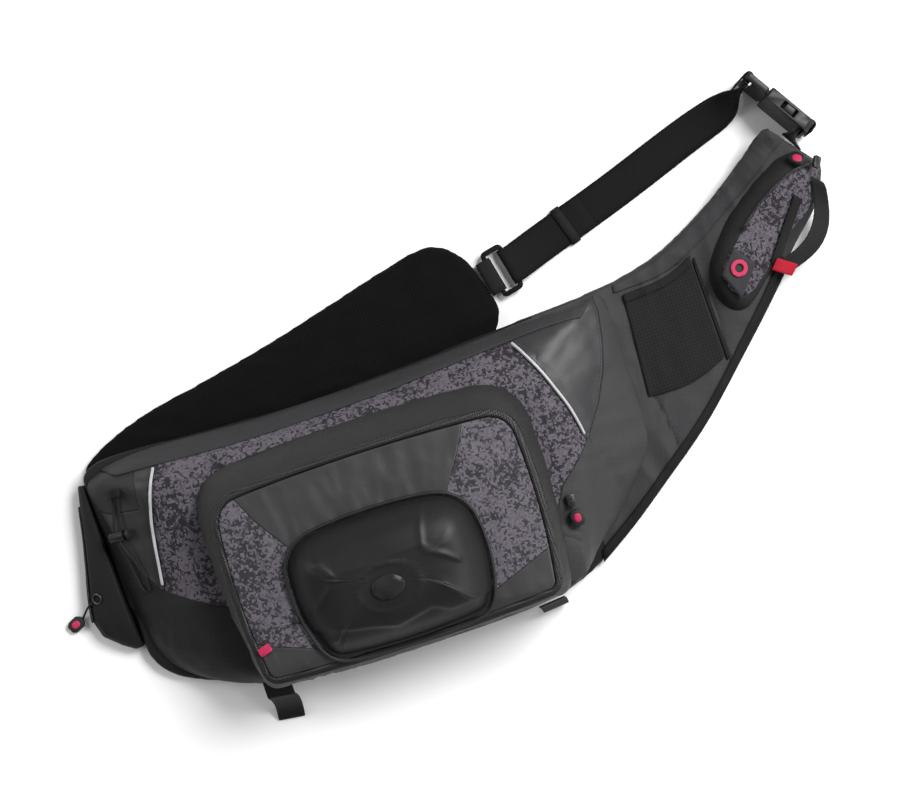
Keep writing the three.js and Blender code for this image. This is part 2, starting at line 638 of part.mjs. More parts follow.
const dome = piece('dome', wall(domeOuter, domeInner, { ring: true, capped: true }), 'moulded');

const domeEdge = pocketOutline(DOME_BASE, -DOME_PIPING_RADIUS - FOLLOW_GAP, 3);
const pipingLift = DOME_PIPING_RADIUS + 3 * FOLLOW_GAP;
const domePipingPath = domeEdge.map(([x, y]) => onMesh(pocketPanel, x, y, pipingLift));
piece('dome_piping', bar(domePipingPath, DOME_PIPING_RADIUS, 6, domePipingPath.length, true), 'plastic');

function placed(geometry, at, ahead, up) {
  const z = up.clone().normalize();
  const x = ahead.clone().addScaledVector(z, -ahead.dot(z)).normalize();
  const y = z.clone().cross(x);
  return geometry.applyMatrix4(new THREE.Matrix4().makeBasis(x, y, z).setPosition(at));
}

function turned(outline, sign) {
  const points = outline.map(([x, y]) => new THREE.Vector2(x, y));
  return THREE.ShapeUtils.area(points) * sign < 0 ? points.reverse() : points;
}

function plate(outline, thickness, holes = []) {
  const shape = new THREE.Shape(turned(outline, 1));
  for (const hole of holes) {
    shape.holes.push(new THREE.Path(turned(hole, -1)));
  }
  return new THREE.ExtrudeGeometry(shape, { depth: thickness, bevelEnabled: false });
}

function ellipse(radiusX, radiusY, count, cx = 0, cy = 0) {
  return Array.from({ length: count }, (_, i) => {
    const angle = (i / count) * 2 * Math.PI;
    return [cx + radiusX * Math.cos(angle), cy + radiusY * Math.sin(angle)];
  });
}

const BADGE_RADIUS = 15;
const domeTop = seat(dome, along(0.48), across(-0.725));
piece('dome_badge', placed(plate(ellipse(BADGE_RADIUS, BADGE_RADIUS * 0.72, 20), PATCH_THICKNESS),
  domeTop.p.clone().addScaledVector(V(0, 0, 1), FOLLOW_GAP), V(1, 0, 0), domeTop.n), 'moulded');

// Harness pockets and trims: stations u run along the pad, shares v from its inner to its outer edge.
const FLAT_POCKET = { from: 0.532, to: 0.64, outerLow: 0.6, outerHigh: 0.86, thickness: 2, hem: 8 };
const pocketInner = (u) => bandShare(u) + 0.02;
const pocketOuterEdge = (u) => lerp(FLAT_POCKET.outerLow, FLAT_POCKET.outerHigh,
  (u - FLAT_POCKET.from) / (FLAT_POCKET.to - FLAT_POCKET.from));
piece('flat_pocket', padPatch(FLAT_POCKET.from, FLAT_POCKET.to, pocketInner, pocketOuterEdge,
  FOLLOW_GAP, FLAT_POCKET.thickness, 8, 4), 'mesh');
const hemWidth = (u) => FLAT_POCKET.hem / padPoint(u, 0, 0).distanceTo(padPoint(u, 1, 0));
const hemLow = FOLLOW_GAP + FLAT_POCKET.thickness + GAP;
const hemOuter = (u) => pocketInner(u) + hemWidth(u);
piece('flat_pocket_hem', padPatch(FLAT_POCKET.from, FLAT_POCKET.to, pocketInner, hemOuter,
  hemLow, PATCH_THICKNESS, 8, 1), 'webbing');
const SEAM_PLACE = [0.6425, 0.6475, 0.2, 0.9];
piece('harness_seam', padPatch(...SEAM_PLACE, FOLLOW_GAP, PATCH_THICKNESS, 1, 6), 'webbing');

// Shoulder pocket: each row is a station round it, at its base on the pad and at the edge of its face
const SHOULDER_POCKET = [
  { baseU: 0.66, baseV: 0.34, faceU: 0.678, faceV: 0.43, up: 0.9 },
  { baseU: 0.69, baseV: 0.265, faceU: 0.705, faceV: 0.4, up: 1 },
  { baseU: 0.73, baseV: 0.235, faceU: 0.74, faceV: 0.4, up: 1 },
  { baseU: 0.78, baseV: 0.245, faceU: 0.785, faceV: 0.415, up: 1 },
  { baseU: 0.83, baseV: 0.26, faceU: 0.83, faceV: 0.45, up: 1 },
  { baseU: 0.88, baseV: 0.3, faceU: 0.875, faceV: 0.5, up: 0.95 },
  { baseU: 0.93, baseV: 0.385, faceU: 0.915, faceV: 0.6, up: 0.85 },
  { baseU: 0.965, baseV: 0.5, faceU: 0.945, faceV: 0.7, up: 0.75 },
  { baseU: 0.985, baseV: 0.69, faceU: 0.965, faceV: 0.8, up: 0.55 },
  { baseU: 0.98, baseV: 0.88, faceU: 0.965, faceV: 0.88, up: 0.35 },
  { baseU: 0.945, baseV: 0.95, faceU: 0.94, faceV: 0.92, up: 0.25 },
  { baseU: 0.9, baseV: 0.95, faceU: 0.895, faceV: 0.915, up: 0.22 },
  { baseU: 0.85, baseV: 0.945, faceU: 0.845, faceV: 0.905, up: 0.22 },
  { baseU: 0.805, baseV: 0.9, faceU: 0.808, faceV: 0.865, up: 0.24 },
  { baseU: 0.765, baseV: 0.865, faceU: 0.77, faceV: 0.83, up: 0.28 },
  { baseU: 0.725, baseV: 0.86, faceU: 0.735, faceV: 0.815, up: 0.35 },
  { baseU: 0.695, baseV: 0.85, faceU: 0.708, faceV: 0.79, up: 0.5 },
  { baseU: 0.673, baseV: 0.75, faceU: 0.69, faceV: 0.72, up: 0.65 },
  { baseU: 0.659, baseV: 0.6, faceU: 0.676, faceV: 0.6, up: 0.8 },
  { baseU: 0.654, baseV: 0.46, faceU: 0.671, faceV: 0.49, up: 0.88 },
];
const FACE_MIDDLE = { u: 0.81, v: 0.67, up: 0.72 };
const harnessPoint = (u, v, h) => padPoint(u, v, PAD_THICKNESS + h);
const pocketBase = SHOULDER_POCKET.map((s) => harnessPoint(s.baseU, s.baseV, 2 * FOLLOW_GAP));
const pocketFace = SHOULDER_POCKET.map((s) => harnessPoint(s.faceU, s.faceV, s.up * SHOULDER_POCKET_HEIGHT));
const pocketWaist = SHOULDER_POCKET.map((s) => {
  const u = lerp(s.baseU, s.faceU, 0.35);
  const v = lerp(s.baseV, s.faceV, 0.35);
  return harnessPoint(u, v, s.up * SHOULDER_POCKET_HEIGHT * 0.62);
});
const pocketCrown = SHOULDER_POCKET.map((s) => harnessPoint(lerp(s.faceU, FACE_MIDDLE.u, 0.45),
  lerp(s.faceV, FACE_MIDDLE.v, 0.5), lerp(s.up, FACE_MIDDLE.up, 0.5) * SHOULDER_POCKET_HEIGHT + 1));
const pocketOuter = [pocketBase, pocketWaist, pocketFace, pocketCrown];
const pocketMiddle = harnessPoint(FACE_MIDDLE.u, FACE_MIDDLE.v, 0);
const pocketNormals = gridNormals(pocketOuter, true, (p) => p.clone().sub(pocketMiddle));
const pocketInnerGrid = offsetGrid(pocketOuter, pocketNormals, -SHOULDER_POCKET_WALL);
pocketInnerGrid[0].forEach((p, i) => {
  const s = SHOULDER_POCKET[i];
  const share = SHOULDER_POCKET_WALL / pocketBase[i].distanceTo(pocketMiddle);
  const u = lerp(s.baseU, FACE_MIDDLE.u, share);
  p.copy(harnessPoint(u, lerp(s.baseV, FACE_MIDDLE.v, share), 2 * FOLLOW_GAP));
});
const shoulderPocket = piece('shoulder_pocket',
  wall(pocketOuter, pocketInnerGrid, { ring: true, capped: true }), 'camo');

const SHOULDER_ZIP = [2, 8];
const zipRoute = pocketFace.slice(...SHOULDER_ZIP).map((p, i) =>
  p.clone().addScaledVector(pocketNormals[2][i + SHOULDER_ZIP[0]], ZIP_THICKNESS));
piece('shoulder_pocket_zip', bar(zipRoute, ZIP_THICKNESS * 0.6, 6, 12), 'zip');

// Flat trim laid on a mesh below it, through a grid of places between four corners
const TRIM_CLEARANCE = 1.6;
function laidOn(mesh, corners, height, thickness, rows = 7, columns = 5) {
  const [a, b, c, d] = corners.map(([at, y]) => V(along(at), across(y), 0));
  const grid = Array.from({ length: rows + 1 }, (_, r) => Array.from({ length: columns + 1 }, (_, k) => {
    const p = a.clone().lerp(b, k / columns).lerp(d.clone().lerp(c, k / columns), r / rows);
    return seat(mesh, p.x, p.y).p;
  }));
  const ups = grid.map((row) => row.map(() => V(0, 0, 1)));
  return clothOn(grid, ups, height, thickness);
}
const SHOULDER_PATCH = [[1.455, -0.06], [1.53, 0.02], [1.595, -0.06], [1.505, -0.165]];
const shoulderPatch = piece('shoulder_patch',
  laidOn(shoulderPocket, SHOULDER_PATCH, TRIM_CLEARANCE, PATCH_THICKNESS), 'leather');
const eyeletSeat = seat(shoulderPatch, along(1.526), across(-0.056));
const eyeletPlate = plate(ellipse(EYELET_RADIUS, EYELET_RADIUS, 16), EYELET_THICKNESS,
  [ellipse(EYELET_HOLE_RADIUS, EYELET_HOLE_RADIUS, 12)]);
const eyeletAt = eyeletSeat.p.clone().addScaledVector(eyeletSeat.n, TRIM_CLEARANCE);
const eyelet = piece('eyelet', placed(eyeletPlate, eyeletAt, V(1, 0, 0), eyeletSeat.n), 'pink');
settle(eyelet, [shoulderPatch], eyeletSeat.n.clone().negate());
const SEWN_STRIP = [[1.815, 0.135], [1.845, 0.11], [1.69, -0.1], [1.66, -0.07]];
piece('sewn_strip', laidOn(shoulderPocket, SEWN_STRIP, TRIM_CLEARANCE, PATCH_THICKNESS, 12, 2), 'leather');

const BELT_LOOP = [
  { at: 1.925, y: 0.16, up: 3 },
  { at: 1.922, y: 0.085, up: 5 },
  { at: 1.9, y: 0.01, up: 8 },
  { at: 1.838, y: -0.06, up: 8 },
  { at: 1.75, y: -0.092, up: 5 },
  { at: 1.7, y: -0.105, up: 4.5 },
];
const LOOP_WIDTH = 16;
const loopAcross = V(0.72, -0.69, -0.1).normalize();
const webbingLoop = piece('webbing_loop', ribbon(BELT_LOOP.map(({ at, y, up }) => ({
  at: seat(shoulderPocket, along(at) - 4, across(y) + 4).p.add(V(4, -4, up)), across: loopAcross,
})), LOOP_WIDTH, TAB_THICKNESS), 'webbing');

// Belt wing, folded beneath the bag: each row gives its upper and its hidden lower edge
const WING_SECTIONS = [
  { upAt: -0.004, upY: -0.01, lowAt: 0.01, lowY: -0.68 },
  { upAt: 0.04, upY: 0.045, lowAt: 0.06, lowY: -0.68 },
  { upAt: 0.12, upY: 0.11, lowAt: 0.16, lowY: -0.64 },
  { upAt: 0.26, upY: 0.165, lowAt: 0.3, lowY: -0.54 },
  { upAt: 0.42, upY: 0.235, lowAt: 0.46, lowY: -0.42 },
  { upAt: 0.54, upY: 0.3, lowAt: 0.59, lowY: -0.31 },
  { upAt: 0.64, upY: 0.352, lowAt: 0.69, lowY: -0.21 },
  { upAt: 0.705, upY: 0.38, lowAt: 0.745, lowY: -0.12 },
  { upAt: 0.745, upY: 0.368, lowAt: 0.785, lowY: -0.03 },
  { upAt: 0.773, upY: 0.32, lowAt: 0.808, lowY: 0.03 },
  { upAt: 0.79, upY: 0.27, lowAt: 0.818, lowY: 0.085 },
];
const WING_STATIONS = 22;
const wingEdge = (atKey, yKey) => new THREE.CatmullRomCurve3(
  WING_SECTIONS.map((s) => V(along(s[atKey]), across(s[yKey]), 0)));
const wingUpper = wingEdge('upAt', 'upY');
const wingLower = wingEdge('lowAt', 'lowY');
function wingSection(t) {
  const upper = wingUpper.getPoint(t);
  const lower = wingLower.getPoint(t);
  const end = Math.min(1, (1 - t) * 8 + 0.55);
  const profile = [[0.02, 0], [0.35, 0], [0.65, 0], [0.98, 0], [1, 0.35], [1, 0.6], [0.975, 0.9], [0.8, 1],
    [0.6, 1], [0.4, 1], [0.2, 1], [0.03, 0.92], [0, 0.62], [0, 0.3]];
  return profile.map(([v, h]) => {
    const p = upper.clone().lerp(lower, v);
    const room = lift(p.x, p.y) - GAP;
    p.z = h * Math.min(WING_THICKNESS * end, room);
    return p;
  });
}
const wingRings = Array.from({ length: WING_STATIONS }, (_, i) => wingSection(i / (WING_STATIONS - 1)));
piece('wing', loft(wingRings), 'mesh');

// The wing's folded root bulges out at the bag's left end
const ROOT_SECTIONS = [
  { y: -0.07, out: 0.01, up: 0.72 },
  { y: -0.14, out: 0.018, up: 0.9 },
  { y: -0.26, out: 0.03, up: 1 },
  { y: -0.38, out: 0.046, up: 1 },
  { y: -0.48, out: 0.06, up: 1 },
  { y: -0.56, out: 0.067, up: 0.95 },
  { y: -0.62, out: 0.06, up: 0.85 },
  { y: -0.67, out: 0.034, up: 0.7 },
  { y: -0.7, out: 0.014, up: 0.55 },
];
const ROOT_HEIGHT = 27;
const ROOT_PROFILE = [
  [0, 0], [0.5, 0], [0.86, 0.02], [1, 0.2], [1, 0.52], [0.86, 0.78], [0.5, 0.95], [0, 1],
];
const rootFrom = padPoint(0, 0, 0);
const rootTo = padPoint(0, 1, 0);
function rootPoint({ y, out, up }, share, h) {
  const seamX = lerp(rootFrom.x, rootTo.x,
    THREE.MathUtils.clamp((across(y) - rootFrom.y) / (rootTo.y - rootFrom.y), 0, 1));
  return V(seamX - 2 * FOLLOW_GAP - share * out * BODY_LENGTH, across(y), h * up * ROOT_HEIGHT);
}
const rootRings = ROOT_SECTIONS.map((s) => ROOT_PROFILE.map(([share, h]) => rootPoint(s, share, h)));
const wingPocket = piece('wing_pocket', loft(rootRings), 'ripstop');
const wingZipRoute = ROOT_SECTIONS.slice(1, 6).map((s) => rootPoint(s, 1, 0.55).add(V(-2.2, 0, 0)));
piece('wing_zip', bar(wingZipRoute, 1.5, 6, 10), 'zip');
const RING_RADIUS = 4.4;
const RING_TUBE = 1;
const sliderSeat = rootPoint(ROOT_SECTIONS[4], 0.72, 0.86).add(V(-2, 0, 3.2));
const wingSlider = piece('wing_slider', placed(new THREE.TorusGeometry(RING_RADIUS, RING_TUBE, 6, 14),
  sliderSeat, V(0, 1, 0), V(-0.45, 0, 1)), 'metal');
sliderSeat.add(settle(wingSlider, [wingPocket], V(0.5, 0, -1)));

// Pull cord of the wing's zip, lying free down to the surface, and the puller on it
const PULL_ROUTE = [
  [-6.2, -1.6, -2.8], [-12.5, -4.8, -6.2], [-17, -8.5, -12], [-20.4, -11.2, -17.8], [-23.6, -14, -21.8],
];
const pullPoints = PULL_ROUTE.map(([x, y, z]) => sliderSeat.clone().add(V(x, y, z)));
const pullCord = piece('wing_pull_cord', bar(pullPoints, PULL_CORD_DIAMETER / 2, 8, 12), 'plastic');
const pullShift = settle(pullCord, [wingSlider], sliderSeat.clone().sub(pullPoints[0]));

function pullerShape() {
  const w = PULLER_WIDTH / 2;
  const l = PULLER_LENGTH;
  const edge = [[0, w * 0.45], [l * 0.22, w], [l * 0.78, w], [l, w * 0.6]];
  return [...edge, ...edge.map(([x, y]) => [x, -y]).reverse()];
}
function puller(name, at, ahead, up) {
  return piece(name, placed(plate(pullerShape(), PULLER_THICKNESS), at, ahead, up), 'plastic');
}
const cordEnd = pullPoints[pullPoints.length - 1].clone().add(pullShift);
const pullerAt = V(cordEnd.x - 0.9, cordEnd.y - 0.4, Math.max(GAP, cordEnd.z - PULLER_THICKNESS / 2));
puller('wing_puller', pullerAt, V(-0.9, -0.45, 0), V(0, 0, 1));

// Rectangular ring at the wing's tip
const RING_PLACE = { at: 0.842, y: 0.208, z: 6.6 };
const ringMiddle = V(along(RING_PLACE.at), across(RING_PLACE.y), RING_PLACE.z);
const ringAhead = V(0.975, 0.222, 0).normalize();
const ringSide = V(-ringAhead.y, ringAhead.x, 0);
const ringHalf = [RING_SLOT / 2 + RING_WIRE, STRAP_WIDTH / 2 + RING_CLEARANCE + RING_WIRE];
function roundedPlate(halfX, halfY, round) {
  const points = [];
  for (const [sx, sy, q] of [[1, 1, 0], [-1, 1, 1], [-1, -1, 2], [1, -1, 3]]) {
    for (let i = 0; i <= 3; i += 1) {
      const angle = (q + i / 3) * (Math.PI / 2);
      const x = sx * (halfX - round) + round * Math.cos(angle);
      points.push([x, sy * (halfY - round) + round * Math.sin(angle)]);
    }
  }
  return points;
}
const RING_ROUND = 2.5;
piece('strap_ring', placed(plate(roundedPlate(...ringHalf, RING_ROUND + RING_WIRE / 2), RING_WIRE,
  [roundedPlate(ringHalf[0] - RING_WIRE, ringHalf[1] - RING_WIRE, 1)]),
ringMiddle.clone().add(V(0, 0, -RING_WIRE / 2)), ringAhead, V(0, 0, 1)), 'plastic');
const ringLocal = (a, z) => ringMiddle.clone().addScaledVector(ringAhead, a).setZ(z);
const barAt = (RING_SLOT + RING_WIRE) / 2;
const wrap = RING_WIRE / 2 + GAP + STRAP_THICKNESS / 2 + 0.4;
const turn = RING_WIRE / 2 + 0.2;

// Webbing tab that holds the ring in the wing's tip
const TAB_REACH = 9.9;
const tabRoute = [
  [-TAB_REACH, wrap - 1.2], [-turn, wrap], [turn, wrap], [wrap, turn],
  [wrap, -turn], [turn, -wrap], [-turn, -wrap], [-TAB_REACH, -wrap + 1.2],
].map(([a, z]) => ({ at: ringLocal(a - barAt, RING_PLACE.z + z), across: ringSide }));
piece('wing_tab', ribbon(tabRoute, STRAP_WIDTH - 2, STRAP_THICKNESS), 'webbing');

// Side-release buckle, standing on edge where the belt and the harness meet
const BUCKLE_PLACE = { at: 1.78, y: 0.598 };
const buckleStart = V(along(BUCKLE_PLACE.at), across(BUCKLE_PLACE.y), BUCKLE_WIDTH / 2);
const buckleAhead = V(0.535, -0.845, 0).normalize();
const buckleOut = V(-buckleAhead.y, buckleAhead.x, 0);
const BUCKLE_SLOT = 5;
const MALE_BASE = 0.32 * BUCKLE_LENGTH;
const END_BAR = 3.6;
function buckleSolid(outline, thickness, holes) {
  const face = buckleStart.clone().addScaledVector(buckleOut, thickness / 2);
  return placed(plate(outline, thickness, holes), face, buckleAhead, buckleOut.clone().negate());
}
const slotHole = (from) => {
  const half = STRAP_WIDTH / 2 + 0.8;
  return [[from, -half], [from, half], [from + BUCKLE_SLOT, half], [from + BUCKLE_SLOT, -half]];
};

// The male half: slotted base, middle guide and two sprung arms
const MALE_THICKNESS = BUCKLE_THICKNESS - 2 * BUCKLE_WALL - 2 * BUCKLE_FIT;
const half = BUCKLE_WIDTH / 2;
const armReach = 0.78 * BUCKLE_LENGTH;
const cavityHalf = half - BUCKLE_WALL - 1.6;
const windowFrom = 0.55 * BUCKLE_LENGTH;
const windowTo = 0.76 * BUCKLE_LENGTH;
function maleOutline() {
  const arm = [
    [MALE_BASE, half - 3], [MALE_BASE, cavityHalf - 2], [windowFrom + 0.4, cavityHalf - BUCKLE_FIT - 0.6],
    [windowFrom + 4, half - 0.4], [windowTo - 3, half - 0.4], [armReach - 1, cavityHalf - 2.5],
    [armReach - 1, cavityHalf - 5], [windowFrom, cavityHalf - 4.5], [MALE_BASE + 2, cavityHalf - 7],
    [MALE_BASE + 2, 3], [windowFrom, 2.4], [windowFrom, 0],
  ];
  const edge = [[0, half - 2], [2, half - 0.3], [MALE_BASE - 1, half - 0.3], ...arm];
  const mirrored = edge.slice(0, -1).map(([a, w]) => [a, -w]).reverse();
  return [...edge.slice(0, -1), ...mirrored];
}
piece('buckle_male', buckleSolid(maleOutline(), MALE_THICKNESS, [slotHole(END_BAR)]), 'plastic');

const wasm = await Module();
wasm.setup();
function asSolid(geometry) {
  const bare = geometry.clone();
  bare.deleteAttribute('normal');
  bare.deleteAttribute('uv');
  const merged = mergeVertices(bare, 1e-3);
  return new wasm.Manifold(new wasm.Mesh({
    numProp: 3,
    vertProperties: new Float32Array(merged.attributes.position.array),
    triVerts: new Uint32Array(merged.index.array),
  }));
}
function asGeometry(solid) {
  const mesh = solid.getMesh();
  const geometry = new THREE.BufferGeometry();
  geometry.setAttribute('position', new THREE.Float32BufferAttribute(mesh.vertProperties, 3));
  geometry.setIndex(Array.from(mesh.triVerts));
  return geometry;
}
function buckleBox(from, to, halfWidth, thickness) {
  const outline = [[from, -halfWidth], [to, -halfWidth], [to, halfWidth], [from, halfWidth]];
  return buckleSolid(outline, thickness);
}
const femaleFrom = MALE_BASE + GAP + 1;
const femaleOutline = [[femaleFrom, -half + 1.5], [femaleFrom + 1.5, -half], [BUCKLE_LENGTH - 5, -half],
  [BUCKLE_LENGTH, -half + 5], [BUCKLE_LENGTH, half - 5], [BUCKLE_LENGTH - 5, half], [femaleFrom + 1.5, half],
  [femaleFrom, half - 1.5]];
const femaleSlot = BUCKLE_LENGTH - END_BAR - BUCKLE_SLOT;
const cavityThickness = BUCKLE_THICKNESS - 2 * BUCKLE_WALL;
const female = asSolid(buckleSolid(femaleOutline, BUCKLE_THICKNESS, [slotHole(femaleSlot)]))
  .subtract(asSolid(buckleBox(femaleFrom - 2, armReach + 1, cavityHalf, cavityThickness)))
  .subtract(asSolid(buckleBox(windowFrom, windowTo, half + 2, cavityThickness)));
piece('buckle_female', asGeometry(female), 'plastic');
function buckleLocal(ahead, out) {
  return buckleStart.clone().addScaledVector(buckleAhead, ahead).addScaledVector(buckleOut, out);
}

// Belt webbing: from its tail over the ring's bar, back beneath itself and on to the buckle's end bar
const STRAP_ROUTE = [
  { at: 0.905, y: 0.247, z: 0, roll: 0 },
  { at: 0.976, y: 0.292, z: 0, roll: 0 },
  { at: 1.16, y: 0.356, z: 1.0, roll: 2 },
  { at: 1.3, y: 0.402, z: 2.2, roll: 5 },
  { at: 1.43, y: 0.446, z: 4, roll: 10 },
  { at: 1.56, y: 0.488, z: 6.2, roll: 17 },
  { at: 1.65, y: 0.513, z: 9.2, roll: 28 },
  { at: 1.705, y: 0.528, z: 14, roll: 48 },
  { at: 1.738, y: 0.542, z: 19, roll: 74 },
];
const floorLayer = STRAP_THICKNESS / 2 + 0.1;
const STRAP_STEPS = 16;
const strapCurve = new THREE.CatmullRomCurve3(
  STRAP_ROUTE.map((s) => V(along(s.at), across(s.y), s.z + floorLayer)));
function strapStation(t) {
  const at = strapCurve.getPoint(t);
  const place = t * (STRAP_ROUTE.length - 1);
  const low = Math.min(Math.floor(place), STRAP_ROUTE.length - 2);
  const roll = THREE.MathUtils.degToRad(lerp(STRAP_ROUTE[low].roll, STRAP_ROUTE[low + 1].roll, place - low));
  const ahead = strapCurve.getTangent(t).setZ(0).normalize();
  const side = V(-ahead.y, ahead.x, 0).multiplyScalar(Math.cos(roll)).add(V(0, 0, Math.sin(roll)));
  return { at, across: side, ahead };
}
const layer = STRAP_THICKNESS + GAP;
const tailStations = [0.19, 0.14, 0.085, 0.03].map((t) => {
  const { at, across: side } = strapStation(t);
  return { at: at.add(V(0, 0, layer)), across: side };
});
const overBar = [[barAt + 8, wrap - 2.6], [barAt + turn, wrap], [barAt - turn, wrap], [barAt - wrap, turn],
  [barAt - wrap, -turn], [barAt - turn, -wrap], [barAt + turn, -wrap]]
  .map(([a, z]) => ({ at: ringLocal(a, RING_PLACE.z + z), across: ringSide }));
const runStations = Array.from({ length: STRAP_STEPS + 1 }, (_, i) => strapStation(i / STRAP_STEPS));
const upright = V(0, 0, 1);
const slotMiddle = END_BAR + BUCKLE_SLOT / 2;
const BAR_ROUTE = [
  [slotMiddle - 0.6, -7], [slotMiddle - 0.2, -3.2], [slotMiddle - 0.2, 3.2], [END_BAR * 0.5, 5.4],
  [-1.6, 3.6], [-1.8, -3.4], [-1.2, -8], [-1.6, -16],
];
const roundBar = BAR_ROUTE.map(([a, n]) => ({ at: buckleLocal(a, n), across: upright }));
const strapRoute = [...tailStations, ...overBar, ...runStations, ...roundBar];
piece('strap', ribbon(strapRoute, STRAP_WIDTH, STRAP_THICKNESS), 'webbing');

// Keeper round the strap's tail
const keeperSeat = strapStation(0.13);
const keeperSide = STRAP_WIDTH / 2 + 1.6;
const KEEPER_LENGTH = 9;
const KEEPER_THICKNESS = 1.1;
function keeperRing(shift, grow) {
  const middlePoint = keeperSeat.at.clone().addScaledVector(keeperSeat.ahead, shift);
  const low = 0.1;
  const high = floorLayer * 2 + layer + 1.6;
  return [[keeperSide, low], [keeperSide, high], [0, high], [-keeperSide, high], [-keeperSide, low]]
    .map(([w, z]) => middlePoint.clone().addScaledVector(keeperSeat.across, w + Math.sign(w) * grow)
      .setZ(z === low ? low : high + grow));
}
const keeperEnds = (grow) => [keeperRing(-KEEPER_LENGTH / 2, grow), keeperRing(KEEPER_LENGTH / 2, grow)];
piece('strap_keeper', wall(keeperEnds(0), keeperEnds(-KEEPER_THICKNESS)), 'webbing');

// Webbing tab from the harness's end through the buckle's tail slot
const padEnd = padPoint(1, 0.45, PAD_THICKNESS / 2);
const tailSlot = femaleSlot + BUCKLE_SLOT / 2;
const endTab = [
  { at: padEnd.clone().add(V(1.2, 1, 0)), across: V(-0.5, 0.55, 0.62).normalize() },
  { at: padEnd.clone().lerp(buckleLocal(tailSlot, -9), 0.5), across: V(-0.35, 0.35, 0.85).normalize() },
  { at: buckleLocal(tailSlot - 0.2, -9), across: upright },
  { at: buckleLocal(tailSlot, -3), across: upright },
  { at: buckleLocal(tailSlot - 0.4, 4.5), across: upright },
  { at: buckleLocal(BUCKLE_LENGTH - 4.5, 7.4), across: upright },
  { at: buckleLocal(BUCKLE_LENGTH + 0.5, 7.4), across: upright },
  { at: buckleLocal(BUCKLE_LENGTH + 2.2, 5.4), across: upright },
  { at: buckleLocal(BUCKLE_LENGTH + 2.3, -2), across: upright },
];
piece('buckle_tab', ribbon(endTab, STRAP_WIDTH - 3, STRAP_THICKNESS), 'webbing');

// Shock cord at the left end: both strands run from one guide through the lock to a free loop
const LOCK_PLACE = { at: 0.038, y: -0.285 };
const STRAND_SPACING = 5;
const CORD_ROUTE = [
  { at: 0.047, y: -0.14 },
  { at: 0.041, y: -0.19 },
  { strand: -0.5, dy: 1.1 },
  { strand: -0.5, dy: 0 },
  { strand: -0.5, dy: -1.1 },
  { at: 0.036, y: -0.38 },
  { at: 0.041, y: -0.45 },
  { at: 0.049, y: -0.508 },
  { at: 0.058, y: -0.512 },
  { at: 0.058, y: -0.455 },
  { at: 0.052, y: -0.38 },
  { strand: 0.5, dy: -1.1 },
  { strand: 0.5, dy: 0 },
  { strand: 0.5, dy: 1.1 },
  { at: 0.052, y: -0.19 },
  { at: 0.054, y: -0.14 },
];
const cordRadius = CORD_DIAMETER / 2;
const lockSeat = seat(mainShell, along(LOCK_PLACE.at), across(LOCK_PLACE.y));
const lockUp = lockSeat.n;
const lockMiddle = lockSeat.p.clone().addScaledVector(lockUp, LOCK_DIAMETER / 2 + 1);
const lockAhead = V(1, 0, 0).addScaledVector(lockUp, -lockUp.x).normalize();
const lockSide = lockUp.clone().cross(lockAhead);
const cordPoints = CORD_ROUTE.map(({ at, y, strand, dy }) => (strand
  ? lockMiddle.clone().addScaledVector(lockAhead, strand * STRAND_SPACING)
    .addScaledVector(lockSide, dy * LOCK_DIAMETER * 0.6)
  : onMesh(mainShell, along(at), across(y), cordRadius + 2 * FOLLOW_GAP)));
piece('shock_cord', bar(cordPoints, cordRadius, 6, 40), 'plastic');

// Cord lock: a barrel with a sprung button, both bored for the two strands
const strandHalf = STRAND_SPACING / 2 + cordRadius;
const lockBore = LOCK_DIAMETER / 2 - LOCK_WALL;
const stemRadius = lockBore - LOCK_FIT;
function lathed(profile, sides = 20) {
  return new THREE.LatheGeometry(profile.map(([r, z]) => new THREE.Vector2(r, z)), sides);
}
function onLockAxis(geometry) {
  const frame = new THREE.Matrix4().makeBasis(lockUp, lockAhead, lockSide);
  return geometry.applyMatrix4(frame.setPosition(lockMiddle));
}
const barrelLeft = -LOCK_LENGTH / 2;
const barrelRight = LOCK_LENGTH / 2;
function strandHole(from, to, room) {
  const hole = plate(roundedPlate((to - from) / 2, cordRadius + room, cordRadius), LOCK_DIAMETER * 3);
  const at = lockMiddle.clone().addScaledVector(lockAhead, (from + to) / 2)
    .addScaledVector(lockSide, LOCK_DIAMETER * 1.5);
  return placed(hole, at, lockAhead, lockSide.clone().negate());
}
const lockRadius = LOCK_DIAMETER / 2;
const barrelProfile = [[0, barrelLeft], [lockRadius, barrelLeft], [lockRadius, barrelRight],
  [lockBore, barrelRight], [lockBore, barrelLeft + LOCK_WALL], [0, barrelLeft + LOCK_WALL]];
const barrel = asSolid(onLockAxis(lathed(barrelProfile)))
  .subtract(asSolid(strandHole(-strandHalf - LOCK_FIT, strandHalf + LOCK_FIT, LOCK_FIT)));
piece('cord_lock_barrel', asGeometry(barrel), 'plastic');
const stemFrom = barrelLeft + LOCK_WALL + LOCK_TRAVEL + LOCK_FIT;
const capFrom = barrelRight + LOCK_TRAVEL + LOCK_FIT;
const CAP_LENGTH = 2.6;
const capTo = capFrom + CAP_LENGTH;
const buttonProfile = [[0, stemFrom], [stemRadius, stemFrom], [stemRadius, capFrom], [lockRadius, capFrom],
  [lockRadius - 0.6, capTo], [0, capTo]];
const button = asSolid(onLockAxis(lathed(buttonProfile)))
  .subtract(asSolid(strandHole(-strandHalf - LOCK_FIT, strandHalf + LOCK_FIT + LOCK_TRAVEL, LOCK_FIT)));
piece('cord_lock_button', asGeometry(button), 'plastic');

